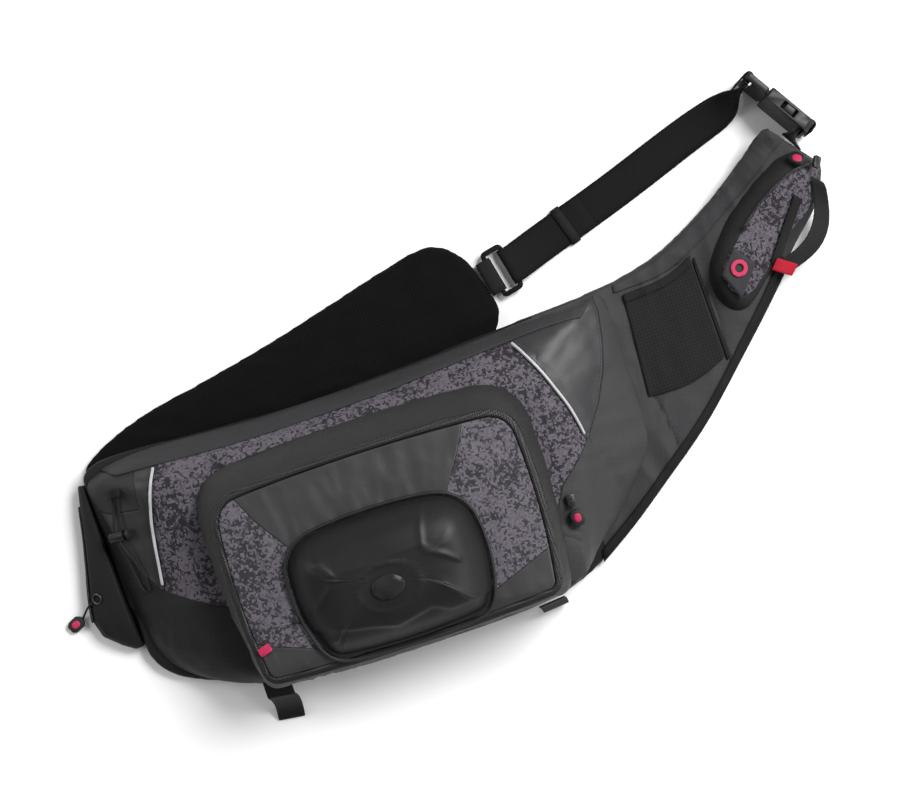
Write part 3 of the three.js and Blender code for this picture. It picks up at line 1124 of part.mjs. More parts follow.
// Webbing guide that holds the upper ends of the shock cord
const guideSeat = (k) => onMesh(mainShell, along(0.05) + k * 7, across(-0.135), 0);
const GUIDE_WIDTH = 7;
const guideLow = 5 * FOLLOW_GAP;
const guideArch = CORD_DIAMETER + 2 * FOLLOW_GAP + TAB_THICKNESS;
piece('cord_guide', ribbon([-1, -0.45, 0, 0.45, 1].map((k) => ({
  at: guideSeat(k).add(V(0, 0, guideLow + guideArch * (1 - Math.abs(k) ** 3))),
  across: V(0, 1, 0),
})), GUIDE_WIDTH, TAB_THICKNESS), 'webbing');

// Webbing tabs that hang from the bag's bottom edge
function bottomTab(name, at, route, skew) {
  const x = along(at);
  const tab = piece(name, ribbon(route.map(([y, z, shift]) => ({
    at: V(x + shift, across(-1) + y, z), across: V(1, skew, 0).normalize(),
  })), TAB_WIDTH, TAB_THICKNESS), 'webbing');
  settle(tab, [mainShell], V(0, 1, 0), 3 * GAP);
}
bottomTab('bottom_tab_left', 0.226, [[10, 52, 0], [-5, 50, 0], [-6.5, 44, 0], [-9.5, 36, 0.5], [-15, 24, 0],
  [-21, 12, -1.5], [-27, 4, -3], [-34, 1.2, -4]], -0.12);
bottomTab('bottom_tab_right', 0.735, [[-2, 50, 2], [-3, 43, 2.5], [-5, 34, 3.5], [-8, 26, 4.5], [-11, 19, 5],
  [-13, 12, 5.5], [-12, 7, 5.5], [-8.5, 5, 5]], 0.1);

// Zip sliders with their rubber pullers, and small tabs
function slider(name, at, ahead, up) {
  return piece(name, placed(plate(roundedPlate(5.5, 3.6, 1.2), 3), at, ahead, up), 'metal');
}
const SLIDER_PLACE = { at: 0.827, y: -0.66, pullerY: -0.695 };
const sliderX = along(SLIDER_PLACE.at);
const pocketSlider = onMesh(mainShell, sliderX, across(SLIDER_PLACE.y), 3 * FOLLOW_GAP);
const pocketSlope = seat(mainShell, sliderX, across(SLIDER_PLACE.y)).n;
const pullerSeat = onMesh(mainShell, sliderX, across(SLIDER_PLACE.pullerY), 3 * FOLLOW_GAP);
const onShell = [
  slider('pocket_slider', pocketSlider, V(0, 1, 0), pocketSlope),
  puller('pocket_puller', pullerSeat, V(0.12, -1, 0), pocketSlope),
];
onShell.forEach((mesh) => settle(mesh, [mainShell], pocketSlope.clone().negate()));
const shoulderSlider = pocketFace[7].clone().addScaledVector(pocketNormals[2][7], ZIP_THICKNESS + 1.8);
slider('shoulder_slider', shoulderSlider, V(0.6, 0.8, 0), pocketNormals[2][7]);
const pullerDown = pocketWaist[6].clone().sub(pocketFace[6]).normalize();
puller('shoulder_puller', pocketFace[6].clone().addScaledVector(pocketNormals[2][6], ZIP_THICKNESS + 2)
  .addScaledVector(pullerDown, 2), pullerDown, pocketNormals[1][6]);
const panelPlace = (at, y, h) => onMesh(pocketPanel, along(at), across(y), h);
const PINK_PLACE = [0.238, -0.815];
const pinkUp = seat(pocketPanel, along(PINK_PLACE[0]), across(PINK_PLACE[1])).n;
piece('pink_tab', placed(plate(roundedPlate(6, 3.8, 1.5), 1.6), panelPlace(...PINK_PLACE, FOLLOW_GAP),
  V(0.9, 0.3, 0), pinkUp), 'pink');
piece('dome_slider', placed(plate(roundedPlate(3.4, 2.2, 0.8), 2), panelPlace(0.306, -0.745, FOLLOW_GAP),
  V(0, 1, 0), V(0, 0, 1)), 'metal');
const SIDE_LABEL = [[1.69, -0.063], [1.76, -0.108], [1.725, -0.143], [1.655, -0.098]];
const LABEL_CLEARANCE = 7.6;
const sideLabel = piece('side_label',
  laidOn(shoulderPocket, SIDE_LABEL, LABEL_CLEARANCE, PATCH_THICKNESS, 2, 2), 'red');
settle(sideLabel, [shoulderPocket, webbingLoop], V(0, 0, -1));

// The bag's own reference point is the middle of its footprint.
bag.updateMatrixWorld(true);
const CORD_PIECES = ['wing_pull_cord', 'wing_puller'];
const footprint = new THREE.Box3();
for (const mesh of bag.children) {
  if (!CORD_PIECES.includes(mesh.name)) {
    footprint.expandByObject(mesh, true);
  }
}
const middle = footprint.getCenter(V(0, 0, 0));
bag.position.set(-middle.x, -middle.y, -footprint.min.z);

export default bag;
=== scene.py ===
import math

import bmesh
import bpy
import numpy as np
from mathutils import Matrix, Vector, noise
from mathutils.bvhtree import BVHTree


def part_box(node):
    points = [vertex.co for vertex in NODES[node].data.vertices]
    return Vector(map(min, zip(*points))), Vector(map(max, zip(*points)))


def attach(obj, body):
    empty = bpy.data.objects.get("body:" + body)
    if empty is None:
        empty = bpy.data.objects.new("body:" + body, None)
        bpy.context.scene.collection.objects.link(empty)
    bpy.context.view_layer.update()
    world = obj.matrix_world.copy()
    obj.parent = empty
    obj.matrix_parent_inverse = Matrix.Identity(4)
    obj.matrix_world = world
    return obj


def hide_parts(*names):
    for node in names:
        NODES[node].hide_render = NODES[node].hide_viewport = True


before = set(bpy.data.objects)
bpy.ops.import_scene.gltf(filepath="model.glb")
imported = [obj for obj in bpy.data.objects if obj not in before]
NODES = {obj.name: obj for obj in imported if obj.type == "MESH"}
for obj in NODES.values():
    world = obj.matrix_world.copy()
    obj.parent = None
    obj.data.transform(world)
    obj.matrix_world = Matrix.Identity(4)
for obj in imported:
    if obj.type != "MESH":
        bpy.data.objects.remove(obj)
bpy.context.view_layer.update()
BODY = "bag"
BUTTON = "lock_button"
MILLIMETRES = 1000  # in a metre

# Design millimetres (X along the bag's top edge) to the frame in metres. The strap's ring ties the two together.
ring_low, ring_high = (np.array(v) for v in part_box("strap_ring"))
RING_MIDDLE = np.array([421.0, 52.0])
SHIFT = (ring_low + ring_high)[:2] / 2 * MILLIMETRES - RING_MIDDLE


def to_frame(points):
    points = np.atleast_2d(np.array(points, float))
    moved = points.copy()
    moved[:, :2] += SHIFT
    return moved / MILLIMETRES


def to_design(points):
    moved = np.array(points) * MILLIMETRES
    moved[:, :2] -= SHIFT
    return moved


# Camera: straight down, turned so that the bag's top edge rises to the right
CAMERA_HEIGHT = 1.6
CAMERA_TURN = math.radians(-18)
CAMERA_AIM = (338.7, -46.8, 0)  # design millimetres
VIEW_WIDTH = 0.8333  # metres of floor across the picture
SENSOR_WIDTH = 36
centre = to_frame([CAMERA_AIM])[0]
camera_data = bpy.data.cameras.new("camera")
camera_data.sensor_width = SENSOR_WIDTH
camera_data.lens = SENSOR_WIDTH * CAMERA_HEIGHT / VIEW_WIDTH
camera = bpy.data.objects.new("camera", camera_data)
camera.location = (centre[0], centre[1], CAMERA_HEIGHT)
camera.rotation_euler = (0, 0, CAMERA_TURN)
bpy.context.scene.collection.objects.link(camera)
bpy.context.scene.camera = camera


# Mesh helpers
MERGE_REACH = 1e-5  # corners of a solid closer than this are one, in metres
QUAD_SKEW = math.radians(80)  # how far a joined pair of triangles may be from a rectangle
SHADE_BREAK = math.radians(40)  # hard parts are shaded with an edge above this angle
PUFF_VOXEL = 4.5  # size of the even mesh that the cloth simulation runs on, in millimetres
PUFF_PRESSURE = 4.0
PUFF_FRAMES = 20
PUFF_CALM_ROUNDS = 4
RAY_START = 0.5  # metres above the floor, well over the bag
TINY = 1e-12


def new_object(name, vertices, faces):
    mesh = bpy.data.meshes.new(name)
    mesh.from_pydata([tuple(v) for v in vertices], [], [tuple(f) for f in faces])
    mesh.update()
    mesh.shade_smooth()
    return linked(name, mesh)


def linked(name, mesh):
    obj = bpy.data.objects.new(name, mesh)
    bpy.context.scene.collection.objects.link(obj)
    return obj


def coords(obj):
    flat = np.empty(len(obj.data.vertices) * 3)
    obj.data.vertices.foreach_get("co", flat)
    return flat.reshape(-1, 3)


def set_coords(obj, points):
    obj.data.vertices.foreach_set("co", np.asarray(points, float).ravel())
    obj.data.update()


def normals(obj):
    flat = np.empty(len(obj.data.vertices) * 3, dtype=np.float32)
    obj.data.vertices.foreach_get("normal", flat)
    return flat.reshape(-1, 3).astype(float)


def tree_of(obj):
    return BVHTree.FromPolygons([v.co for v in obj.data.vertices], [p.vertices for p in obj.data.polygons])


def refined(name, node, levels=2, sharp=55, quads=40, hold=0.75):
    """A smooth copy of a solid: its triangles joined where they meet flatter than quads degrees, its rims above
    sharp degrees held, then subdivided."""
    bm = bmesh.new()
    bm.from_mesh(NODES[node].data)
    bmesh.ops.remove_doubles(bm, verts=bm.verts, dist=MERGE_REACH)
    bmesh.ops.join_triangles(bm, faces=bm.faces, angle_face_threshold=math.radians(quads),
                             angle_shape_threshold=QUAD_SKEW, cmp_seam=False)
    crease = bm.edges.layers.float.get("crease_edge") or bm.edges.layers.float.new("crease_edge")
    for edge in bm.edges:
        if len(edge.link_faces) == 2 and edge.calc_face_angle() > math.radians(sharp):
            edge[crease] = hold
    mesh = bpy.data.meshes.new(name)
    bm.to_mesh(mesh)
    bm.free()
    return refined_again(linked(name, mesh), levels)


def hard(name, node, rim=0.5, sharp=28, segments=2):
    """A copy of a hard solid with rounded rims, rim in millimetres."""
    mesh = NODES[node].data.copy()
    obj = linked(name, mesh)
    bm = bmesh.new()
    bm.from_mesh(mesh)
    bmesh.ops.remove_doubles(bm, verts=bm.verts, dist=MERGE_REACH)
    bm.to_mesh(mesh)
    bm.free()
    modifier = obj.modifiers.new("rim", "BEVEL")
    modifier.width = rim / MILLIMETRES
    modifier.segments = segments
    modifier.limit_method = "ANGLE"
    modifier.angle_limit = math.radians(sharp)
    modifier.use_clamp_overlap = True
    bake(obj)
    obj.data.shade_smooth()
    obj.data.set_sharp_from_angle(angle=SHADE_BREAK)
    return obj


def bake(obj):
    """Applies an object's modifiers."""
    bpy.context.view_layer.update()
    graph = bpy.context.evaluated_depsgraph_get()
    mesh = bpy.data.meshes.new_from_object(obj.evaluated_get(graph))
    obj.modifiers.clear()
    obj.data = mesh


def puffed(name, node, pinned, cap):
    """A padded piece blown up by a short cloth simulation; pinned(design points) says which points stay, and no
    point moves more than cap millimetres."""
    obj = refined(name, node, 1, 45)
    smooth = tree_of(obj)
    modifier = obj.modifiers.new("even", "REMESH")
    modifier.mode = "VOXEL"
    modifier.voxel_size = PUFF_VOXEL / MILLIMETRES
    modifier = obj.modifiers.new("calm", "SMOOTH")
    modifier.iterations = PUFF_CALM_ROUNDS
    bake(obj)
    rest = coords(obj)
    group = obj.vertex_groups.new(name="pin")
    group.add([int(i) for i in np.nonzero(pinned(to_design(rest)))[0]], 1.0, "REPLACE")
    cloth = obj.modifiers.new("cloth", "CLOTH")
    cloth.settings.quality = 5
    cloth.settings.mass = 0.3
    cloth.settings.use_pressure = True
    cloth.settings.uniform_pressure_force = PUFF_PRESSURE
    cloth.settings.vertex_group_mass = "pin"
    cloth.settings.effector_weights.gravity = 0
    cloth.settings.tension_stiffness = 15
    cloth.settings.bending_stiffness = 0.5
    cloth.point_cache.frame_start = 1
    cloth.point_cache.frame_end = PUFF_FRAMES
    for step in range(1, PUFF_FRAMES + 1):
        bpy.context.scene.frame_set(step)
    bake(obj)
    bpy.context.scene.frame_set(1)
    moved = coords(obj) - rest
    reach = np.linalg.norm(moved, axis=1, keepdims=True)
    moved *= np.minimum(1, cap / MILLIMETRES / np.maximum(reach, 1e-9))
    points = np.array([smooth.find_nearest(Vector(p))[0] for p in rest]) + moved
    points[:, 2] = np.maximum(points[:, 2], 0)
    set_coords(obj, points)
    obj.vertex_groups.clear()
    return refined_again(obj, 1)


def refined_again(obj, levels):
    """Subdivides an object and shades it smooth."""
    modifier = obj.modifiers.new("smooth", "SUBSURF")
    modifier.levels = modifier.render_levels = levels
    bake(obj)
    obj.data.shade_smooth()
    return obj


def push(obj, amount):
    """Moves each vertex along its normal by amount(design points, normals) in millimetres."""
    points = coords(obj)
    ups = normals(obj)
    points += ups * (amount(to_design(points), ups)[:, None] / MILLIMETRES)
    set_coords(obj, points)


def ripple(points, scale, seed=0.0, stretch=(1, 1, 1)):
    """Smooth noise from -1 to 1 at points in millimetres; scale is the size of its lumps."""
    k = np.array(stretch) / scale
    return np.array([noise.noise(Vector(p * k) + Vector((seed, seed * 1.7, seed * 0.3))) for p in points])


def creases(points, scale, seed=0.0, stretch=(1, 1, 1)):
    """Folded noise, as in creased cloth: 1 on narrow ridges, falling to about -1 between them."""
    return 1 - np.abs(ripple(points, scale, seed, stretch)) * 2.2


FAR = 1e9


def segment_distance(points, a, b):
    """Distance of points to the straight piece from a to b, in the plane."""
    ab = b - a
    t = np.clip(((points - a) @ ab) / (ab @ ab), 0, 1)
    off = points - (a + t[:, None] * ab)
    return np.hypot(off[:, 0], off[:, 1])


def line_distance(points, line, extend=60):
    """Signed distance of points to an open line in the plane, positive to the left of its run. Both ends are
    drawn out by extend millimetres."""
    line = np.array(line, float)
    first = line[0] - (line[1] - line[0]) / np.linalg.norm(line[1] - line[0]) * extend
    last = line[-1] + (line[-1] - line[-2]) / np.linalg.norm(line[-1] - line[-2]) * extend
    line = np.vstack([first, line, last])
    best = np.full(len(points), FAR)
    sign = np.ones(len(points))
    for a, b in zip(line[:-1], line[1:]):
        ab = b - a
        d = segment_distance(points, a, b)
        side = np.sign(ab[0] * (points[:, 1] - a[1]) - ab[1] * (points[:, 0] - a[0]))
        near = d < best - 1e-9
        best[near] = d[near]
        sign[near] = side[near]
    return best * sign


def path_distance(points, path):
    """Distance of points to an open path in the plane, in millimetres."""
    path = np.array(path, float)
    best = np.full(len(points), FAR)
    for a, b in zip(path[:-1], path[1:]):
        best = np.minimum(best, segment_distance(points, a, b))
    return best


def ring_distance(points, ring):
    """Signed distance to a closed outline in the plane, positive inside."""
    ring = np.array(ring, float)
    best = np.full(len(points), FAR)
    inside = np.zeros(len(points), bool)
    for a, b in zip(ring, np.roll(ring, -1, axis=0)):
        best = np.minimum(best, segment_distance(points, a, b))
        crosses = (a[1] > points[:, 1]) != (b[1] > points[:, 1])
        at = a[0] + (points[:, 1] - a[1]) * (b[0] - a[0]) / np.where(b[1] == a[1], 1e-9, b[1] - a[1])
        inside ^= crosses & (points[:, 0] < at)
    return np.where(inside, best, -best)


def store(obj, name, values):
    attribute = obj.data.attributes.new(name, "FLOAT", "POINT")
    attribute.data.foreach_set("value", np.asarray(values, np.float32))


def bump_profile(d, width):
    """A smooth ridge across a line: 1 on it, fading over width."""
    return np.exp(-(d / width) ** 2)


# Material helpers
WAVE_SCALE = 0.31416  # the wave texture at scale 1 has this period, in metres


class Look:
    """One material and short names for the nodes that it is built from."""

    def __init__(self, name):
        self.material = bpy.data.materials.new(name)
        self.material.use_nodes = True
        self.tree = self.material.node_tree
        self.shader = self.tree.nodes["Principled BSDF"]
        self.place = self.node("ShaderNodeTexCoord").outputs["Object"]

    def node(self, kind, settings=None, **inputs):
        made = self.tree.nodes.new(kind)
        for key, value in (settings or {}).items():
            setattr(made, key, value)
        for key, value in inputs.items():
            socket = made.inputs[int(key[1:])] if key[0] == "i" and key[1:].isdigit() else made.inputs[key]
            self.feed(socket, value)
        return made

    def feed(self, socket, value):
        if isinstance(value, bpy.types.NodeSocket):
            self.tree.links.new(value, socket)
        else:
            socket.default_value = value

    def math(self, operation, a, b=0.0, clamp=False):
        return self.node("ShaderNodeMath", {"operation": operation, "use_clamp": clamp}, i0=a, i1=b).outputs[0]

    def mix(self, factor, a, b):
        made = self.node("ShaderNodeMix", {"data_type": "RGBA"})
        self.feed(made.inputs[0], factor)
        self.feed(made.inputs[6], a)
        self.feed(made.inputs[7], b)
        return made.outputs[2]

    def blend(self, factor, a, b):
        made = self.node("ShaderNodeMix", {"data_type": "FLOAT"})
        self.feed(made.inputs[0], factor)
        self.feed(made.inputs[2], a)
        self.feed(made.inputs[3], b)
        return made.outputs[0]

    def turned(self, angle):
        return self.node("ShaderNodeMapping", Vector=self.place, Rotation=(0, 0, angle)).outputs[0]

    def waves(self, vector, period, axis):
        return self.node("ShaderNodeTexWave", {"bands_direction": axis},
                         Vector=vector, Scale=WAVE_SCALE / period, Distortion=0.0).outputs["Fac"]

    def noise(self, scale, detail, vector=None, rough=0.5):
        return self.node("ShaderNodeTexNoise", None, Vector=vector or self.place, Scale=scale, Detail=detail,
                         Roughness=rough).outputs["Fac"]

    def attribute(self, name):
        return self.node("ShaderNodeAttribute", {"attribute_name": name}).outputs["Fac"]

    def bump(self, height, strength, distance, before=None):
        made = self.node("ShaderNodeBump", None, Height=height, Strength=strength, Distance=distance)
        if before:
            self.tree.links.new(before, made.inputs["Normal"])
        return made.outputs[0]

    def finish(self, color, rough, normal=None, metal=0.0, specular=0.5):
        self.feed(self.shader.inputs["Base Color"], color)
        self.feed(self.shader.inputs["Roughness"], rough)
        self.shader.inputs["Metallic"].default_value = metal
        self.shader.inputs["Specular IOR Level"].default_value = specular
        if normal:
            self.feed(self.shader.inputs["Normal"], normal)
        return self.material


def rgb(text):
    """A colour from its hexadecimal sRGB value, as a linear colour."""
    parts = [int(text[i:i + 2], 16) / 255 for i in (0, 2, 4)]
    return (*[c / 12.92 if c <= 0.04045 else ((c + 0.055) / 1.055) ** 2.4 for c in parts], 1)


# Each fabric gives its colour, its roughness and its height. Periods and cells are in metres.
WEAVE = 0.0011
RIPSTOP_GRID = 0.005
RIPSTOP_SHARPNESS = 18.0
CAMO_CELL = 0.0016
CAMO_WEAVE = 0.001
CAMO_TURN = 0.12
CAMO_TONES = [(0.0, "242126"), (0.39, "322e34"), (0.44, "47424a"), (0.49, "5f5a62"), (0.64, "544f57")]
SEAM_COLOR = "0b0b0c"
SEAM_WIDTH = 0.9  # millimetres to each side


def plain_cloth(look, dark="151516", light="1f1f20", angle=0.32):
    turned = look.turned(angle)
    weave = look.math("MULTIPLY", look.waves(turned, WEAVE, "X"), look.waves(turned, WEAVE, "Y"))
    grid = look.math("MAXIMUM", *[look.math("POWER", look.waves(turned, RIPSTOP_GRID, axis), RIPSTOP_SHARPNESS)
                                  for axis in "XY"])
    large = look.noise(22, 3.0)
    fine = look.noise(900, 2.0)
    tone = look.math("ADD", look.math("MULTIPLY", large, 0.75), look.math("MULTIPLY", fine, 0.4))
    color = look.mix(look.math("SUBTRACT", tone, 0.12, clamp=True), rgb(dark), rgb(light))
    height = look.math("ADD", look.math("MULTIPLY", weave, 0.5), look.math("MULTIPLY", grid, 0.35))
    height = look.math("ADD", height, look.math("MULTIPLY", look.noise(420, 3.0), 0.35))
    return color, look.math("ADD", 0.5, look.math("MULTIPLY", large, 0.25)), height


def coated_cloth(look, dark="2d2d2e", light="3a3a3c"):
    large = look.noise(16, 3.0)
    grain = look.node("ShaderNodeTexVoronoi", {"feature": "SMOOTH_F1"}, Vector=look.place,
                      Scale=650.0).outputs["Distance"]
    color = look.mix(large, rgb(dark), rgb(light))
    height = look.math("ADD", look.math("MULTIPLY", grain, 0.25), look.math("MULTIPLY", look.noise(300, 2.0), 0.15))
    return color, look.math("ADD", 0.36, look.math("MULTIPLY", look.noise(30, 2.0), 0.12)), height


def camo_cloth(look):
    """Digital camouflage: noise read once per cell and cut into flat tones."""
    turned = look.turned(CAMO_TURN)
    cells = look.node("ShaderNodeVectorMath", {"operation": "SNAP"}, i0=turned, i1=(CAMO_CELL,) * 3).outputs[0]
    clusters = look.noise(230.0, 1.0, cells)
    broad = look.noise(34.0, 1.0, cells)
    speck = look.node("ShaderNodeTexWhiteNoise", {"noise_dimensions": "3D"}, Vector=cells).outputs["Value"]
    value = look.math("ADD", clusters, look.math("MULTIPLY", look.math("SUBTRACT", speck, 0.5), 0.34))
    value = look.math("ADD", value, look.math("MULTIPLY", look.math("SUBTRACT", broad, 0.5), 0.6))
    ramp = look.node("ShaderNodeValToRGB", None, Fac=value)
    ramp.color_ramp.interpolation = "CONSTANT"
    ramp.color_ramp.elements[1].position = CAMO_TONES[1][0]
    for at, _ in CAMO_TONES[2:]:
        ramp.color_ramp.elements.new(at)
    for element, (at, color) in zip(ramp.color_ramp.elements, CAMO_TONES):
        element.position = at
        element.color = rgb(color)
    weave = look.math("MULTIPLY", look.waves(look.place, CAMO_WEAVE, "X"), look.waves(look.place, CAMO_WEAVE, "Y"))
    color = look.mix(look.math("MULTIPLY", weave, 0.2), ramp.outputs["Color"], rgb("141315"))
    height = look.math("ADD", look.math("MULTIPLY", weave, 0.5), look.math("MULTIPLY", look.noise(420, 3.0), 0.4))
    return color, look.math("ADD", 0.6, look.math("MULTIPLY", look.noise(80, 2.0), 0.2)), height


def harness_cloth(look):
    return plain_cloth(look, "2e2e30", "3d3d3e", 0.35)


def patch_cloth(look):
    return plain_cloth(look, "272728", "323232", 0.1)


def seam_mask(look, distance):
    """1 on a seam line, 0 beyond its width."""
    near = look.math("DIVIDE", look.math("ABSOLUTE", distance), SEAM_WIDTH)
    return look.math("SUBTRACT", 1.0, near, clamp=True)


def zoned(name, base, zones, strength=0.35, crumple=0.5, shine=0.18):
    """One material of several fabrics; each zone is a fabric and the name of its distance attribute.
    A zone without a fabric draws its seam alone."""
    look = Look(name)
    color, rough, height = base(look)
    seam = None
    for fabric, attribute in zones:
        distance = look.attribute(attribute)
        line = seam_mask(look, distance)
        seam = line if seam is None else look.math("MAXIMUM", seam, line)
        if fabric is None:
            continue
        inside = look.math("GREATER_THAN", distance, 0.0)
        zone_color, zone_rough, zone_height = fabric(look)
        color = look.mix(inside, color, zone_color)
        rough = look.blend(inside, rough, zone_rough)
        height = look.blend(inside, height, zone_height)
    if seam is not None:
        color = look.mix(look.math("MULTIPLY", seam, 0.75), color, rgb(SEAM_COLOR))
    normal = look.bump(look.noise(30, 2.0, rough=0.4), crumple, 0.004)
    normal = look.bump(height, strength, 0.0006, normal)
    if seam is not None:
        normal = look.bump(look.math("SUBTRACT", 1.0, seam), 0.6, 0.001, normal)
    return look.finish(color, rough, normal, specular=shine)


def webbing_look(name, angle, dark="141414", light="1f1f20", period=0.0019):
    look = Look(name)
    turned = look.turned(angle)
    ribs = look.waves(turned, period, "X")
    threads = look.waves(turned, period * 0.55, "Y")
    height = look.math("ADD", look.math("MULTIPLY", ribs, 0.6), look.math("MULTIPLY", threads, 0.4))
    tone = look.math("ADD", look.math("MULTIPLY", ribs, 0.35), look.math("MULTIPLY", look.noise(60, 3.0), 0.6))
    color = look.mix(tone, rgb(dark), rgb(light))
    return look.finish(color, 0.7, look.bump(height, 0.5, 0.0007), specular=0.15)


def mesh_look(name, dark="050505", light="0a0a0a", hole_shade="020202"):
    look = Look(name)
    holes = look.node("ShaderNodeTexVoronoi", {"feature": "F1", "voronoi_dimensions": "2D"}, Vector=look.place,
                      Scale=330.0, Randomness=0.12).outputs["Distance"]
    hole = look.math("LESS_THAN", holes, 0.34)
    thread = look.noise(1400, 2.0)
    # The holes get a darker colour than the threads: painted shade inside the holes.
    color = look.mix(hole, look.mix(thread, rgb(dark), rgb(light)), rgb(hole_shade))
    normal = look.bump(look.noise(30, 3.0), 0.35, 0.004)
    normal = look.bump(look.math("SUBTRACT", 1.0, hole), 0.7, 0.0008, normal)
    return look.finish(color, 0.9, normal, specular=0.15)


def moulded_look(name, dark="141415", light="1f1f20", rough=0.4):
    look = Look(name)
    large = look.noise(30, 2.0)
    grain = look.noise(1800, 3.0)
    color = look.mix(large, rgb(dark), rgb(light))
    color = look.mix(look.math("MULTIPLY", grain, 0.2), color, rgb("0e0e0f"))
    rough = look.math("ADD", rough, look.math("MULTIPLY", large, 0.12))
    return look.finish(color, rough, look.bump(grain, 0.25, 0.0004), specular=0.3)


def plastic_look(name, base="0a0a0b", worn="151517", rough=0.38, specular=0.4):
    look = Look(name)
    scuffs = look.noise(240, 5.0)
    color = look.mix(look.math("MULTIPLY", scuffs, 0.45), rgb(base), rgb(worn))
    normal = look.bump(look.noise(900, 3.0), 0.12, 0.0003)
    rough = look.math("ADD", rough, look.math("MULTIPLY", scuffs, 0.2))
    return look.finish(color, rough, normal, specular=specular)


def metal_look(name):
    look = Look(name)
    scuffs = look.noise(500, 4.0)
    color = look.mix(scuffs, rgb("2c2c2e"), rgb("6f6f72"))
    rough = look.math("ADD", 0.22, look.math("MULTIPLY", scuffs, 0.25))
    return look.finish(color, rough, look.bump(scuffs, 0.1, 0.0003), metal=1.0)


def zip_look(name):
    look = Look(name)
    teeth = look.node("ShaderNodeTexVoronoi", {"feature": "F1"}, Vector=look.place, Scale=520.0,
                      Randomness=0.1).outputs["Distance"]
    color = look.mix(teeth, rgb("111112"), rgb("050505"))
    return look.finish(color, 0.5, look.bump(teeth, 0.8, 0.0008))


def dress(obj, material, slot, *replaced, body=BODY):
    """Gives a piece its material and its body, and hides the nodes that it replaces; slot is not used."""
    obj.data.materials.clear()
    obj.data.materials.append(material)
    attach(obj, body)
    if replaced:
        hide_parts(*replaced)
    return obj


def nearest_height(tree, x, y):
    hit = tree.ray_cast(Vector((x, y, RAY_START)), Vector((0, 0, -1)))
    return None if hit[0] is None else hit[0].z


def follow(obj, old, new, limit=0.004):
    """Shifts a piece up or down by what the surface beneath it has moved between two versions, in metres."""
    points = coords(obj)
    for p in points:
        a = nearest_height(old, p[0], p[1])
        b = nearest_height(new, p[0], p[1])
        if a is not None and b is not None:
            p[2] += max(-limit, min(limit, b - a))
    set_coords(obj, points)


# Stitches, in metres
STITCH_PITCH = 0.0034
STITCH_LENGTH = 0.0022
STITCH_WIDTH = 0.00055
STITCH_CLEARANCE = 0.0002
STITCH_ROWS = ((-0.0001, 0.4), (0.00035, 1.0), (-0.0001, 0.4))  # lift and share of the width, along one stitch
STITCH_CROWN = 0.0002


def stitches(name, runs, material, slot):
    """Thread stitches along runs of points in the frame; each run is (points, up vectors)."""
    vertices, faces = [], []
    for line, ups in runs:
        line = np.asarray(line, float)
        steps = np.linalg.norm(np.diff(line, axis=0), axis=1)
        places = np.concatenate([[0], np.cumsum(steps)])
        at = 0.0
        while at + STITCH_LENGTH < places[-1]:
            ends = []
            for d in (at, at + STITCH_LENGTH / 2, at + STITCH_LENGTH):
                k = min(np.searchsorted(places, d, side="right") - 1, len(steps) - 1)
                share = (d - places[k]) / max(steps[k], 1e-9)
                ends.append(line[k] + (line[k + 1] - line[k]) * share)
            up = np.asarray(ups[min(k, len(ups) - 1)], float)
            ahead = ends[2] - ends[0]
            ahead /= np.linalg.norm(ahead) + TINY
            side = np.cross(up, ahead)
            side /= np.linalg.norm(side) + TINY
            base = len(vertices)
            for p, (lift, width) in zip(ends, STITCH_ROWS):
                reach = side * STITCH_WIDTH / 2 * width
                vertices += [p + reach + up * (lift - STITCH_CROWN), p + up * (lift + STITCH_CROWN),
                             p - reach + up * (lift - STITCH_CROWN)]
            for r in range(2):
                for c in range(2):
                    a = base + r * 3 + c
                    faces.append((a, a + 1, a + 4, a + 3))
            at += STITCH_PITCH
    return dress(new_object(name, vertices, faces), material, slot)


def seated(tree, points):
    """Points in design millimetres laid on a surface from above, with the surface's normals."""
    line, ups = [], []
    for x, y, _ in to_frame([[p[0], p[1], 0] for p in points]):
        hit = tree.ray_cast(Vector((x, y, RAY_START)), Vector((0, 0, -1)))
        if hit[0] is None:
            continue
        up = hit[1] if hit[1].z > 0 else -hit[1]
        line.append(np.array(hit[0]) + np.array(up) * STITCH_CLEARANCE)
        ups.append(np.array(up))
    return line, ups


def dense(points, step=2.5):
    """A line of points resampled to about the given step, in millimetres."""
    points = np.array(points, float)
    made = [points[0]]
    for a, b in zip(points[:-1], points[1:]):
        count = max(1, int(np.linalg.norm(b - a) / step))
        made += [a + (b - a) * (i + 1) / count for i in range(count)]
    return np.array(made)


def smooth_line(points, rounds=2):
    """Corner-cut line through control points."""
    line = np.array(points, float)
    for _ in range(rounds):
        q = line[:-1] * 0.75 + line[1:] * 0.25
        r = line[:-1] * 0.25 + line[1:] * 0.75
        line = np.vstack([line[:1], np.stack([q, r], 1).reshape(-1, line.shape[1]), line[-1:]])
    return line


def tube(name, line, radius, sides):
    """Round bar along a line of points in the frame, closed at both ends."""
    count = len(line)
    vertices, faces = [], []
    for i in range(count):
        run = line[min(i + 1, count - 1)] - line[max(i - 1, 0)]
        ahead = run / (np.linalg.norm(run) + TINY)
        side = np.cross((0.0, 0.0, 1.0), ahead)
        side /= np.linalg.norm(side) + TINY
        up = np.cross(ahead, side)
        for s in range(sides):
            angle = s / sides * 2 * math.pi
            vertices.append(line[i] + (side * math.cos(angle) + up * math.sin(angle)) * radius)
    for start in range(0, (count - 1) * sides, sides):
        for s in range(sides):
            t = (s + 1) % sides
            faces.append((start + s, start + t, start + sides + t, start + sides + s))
    faces.append(tuple(range(sides))[::-1])
    faces.append(tuple((count - 1) * sides + s for s in range(sides)))
    return new_object(name, vertices, faces)


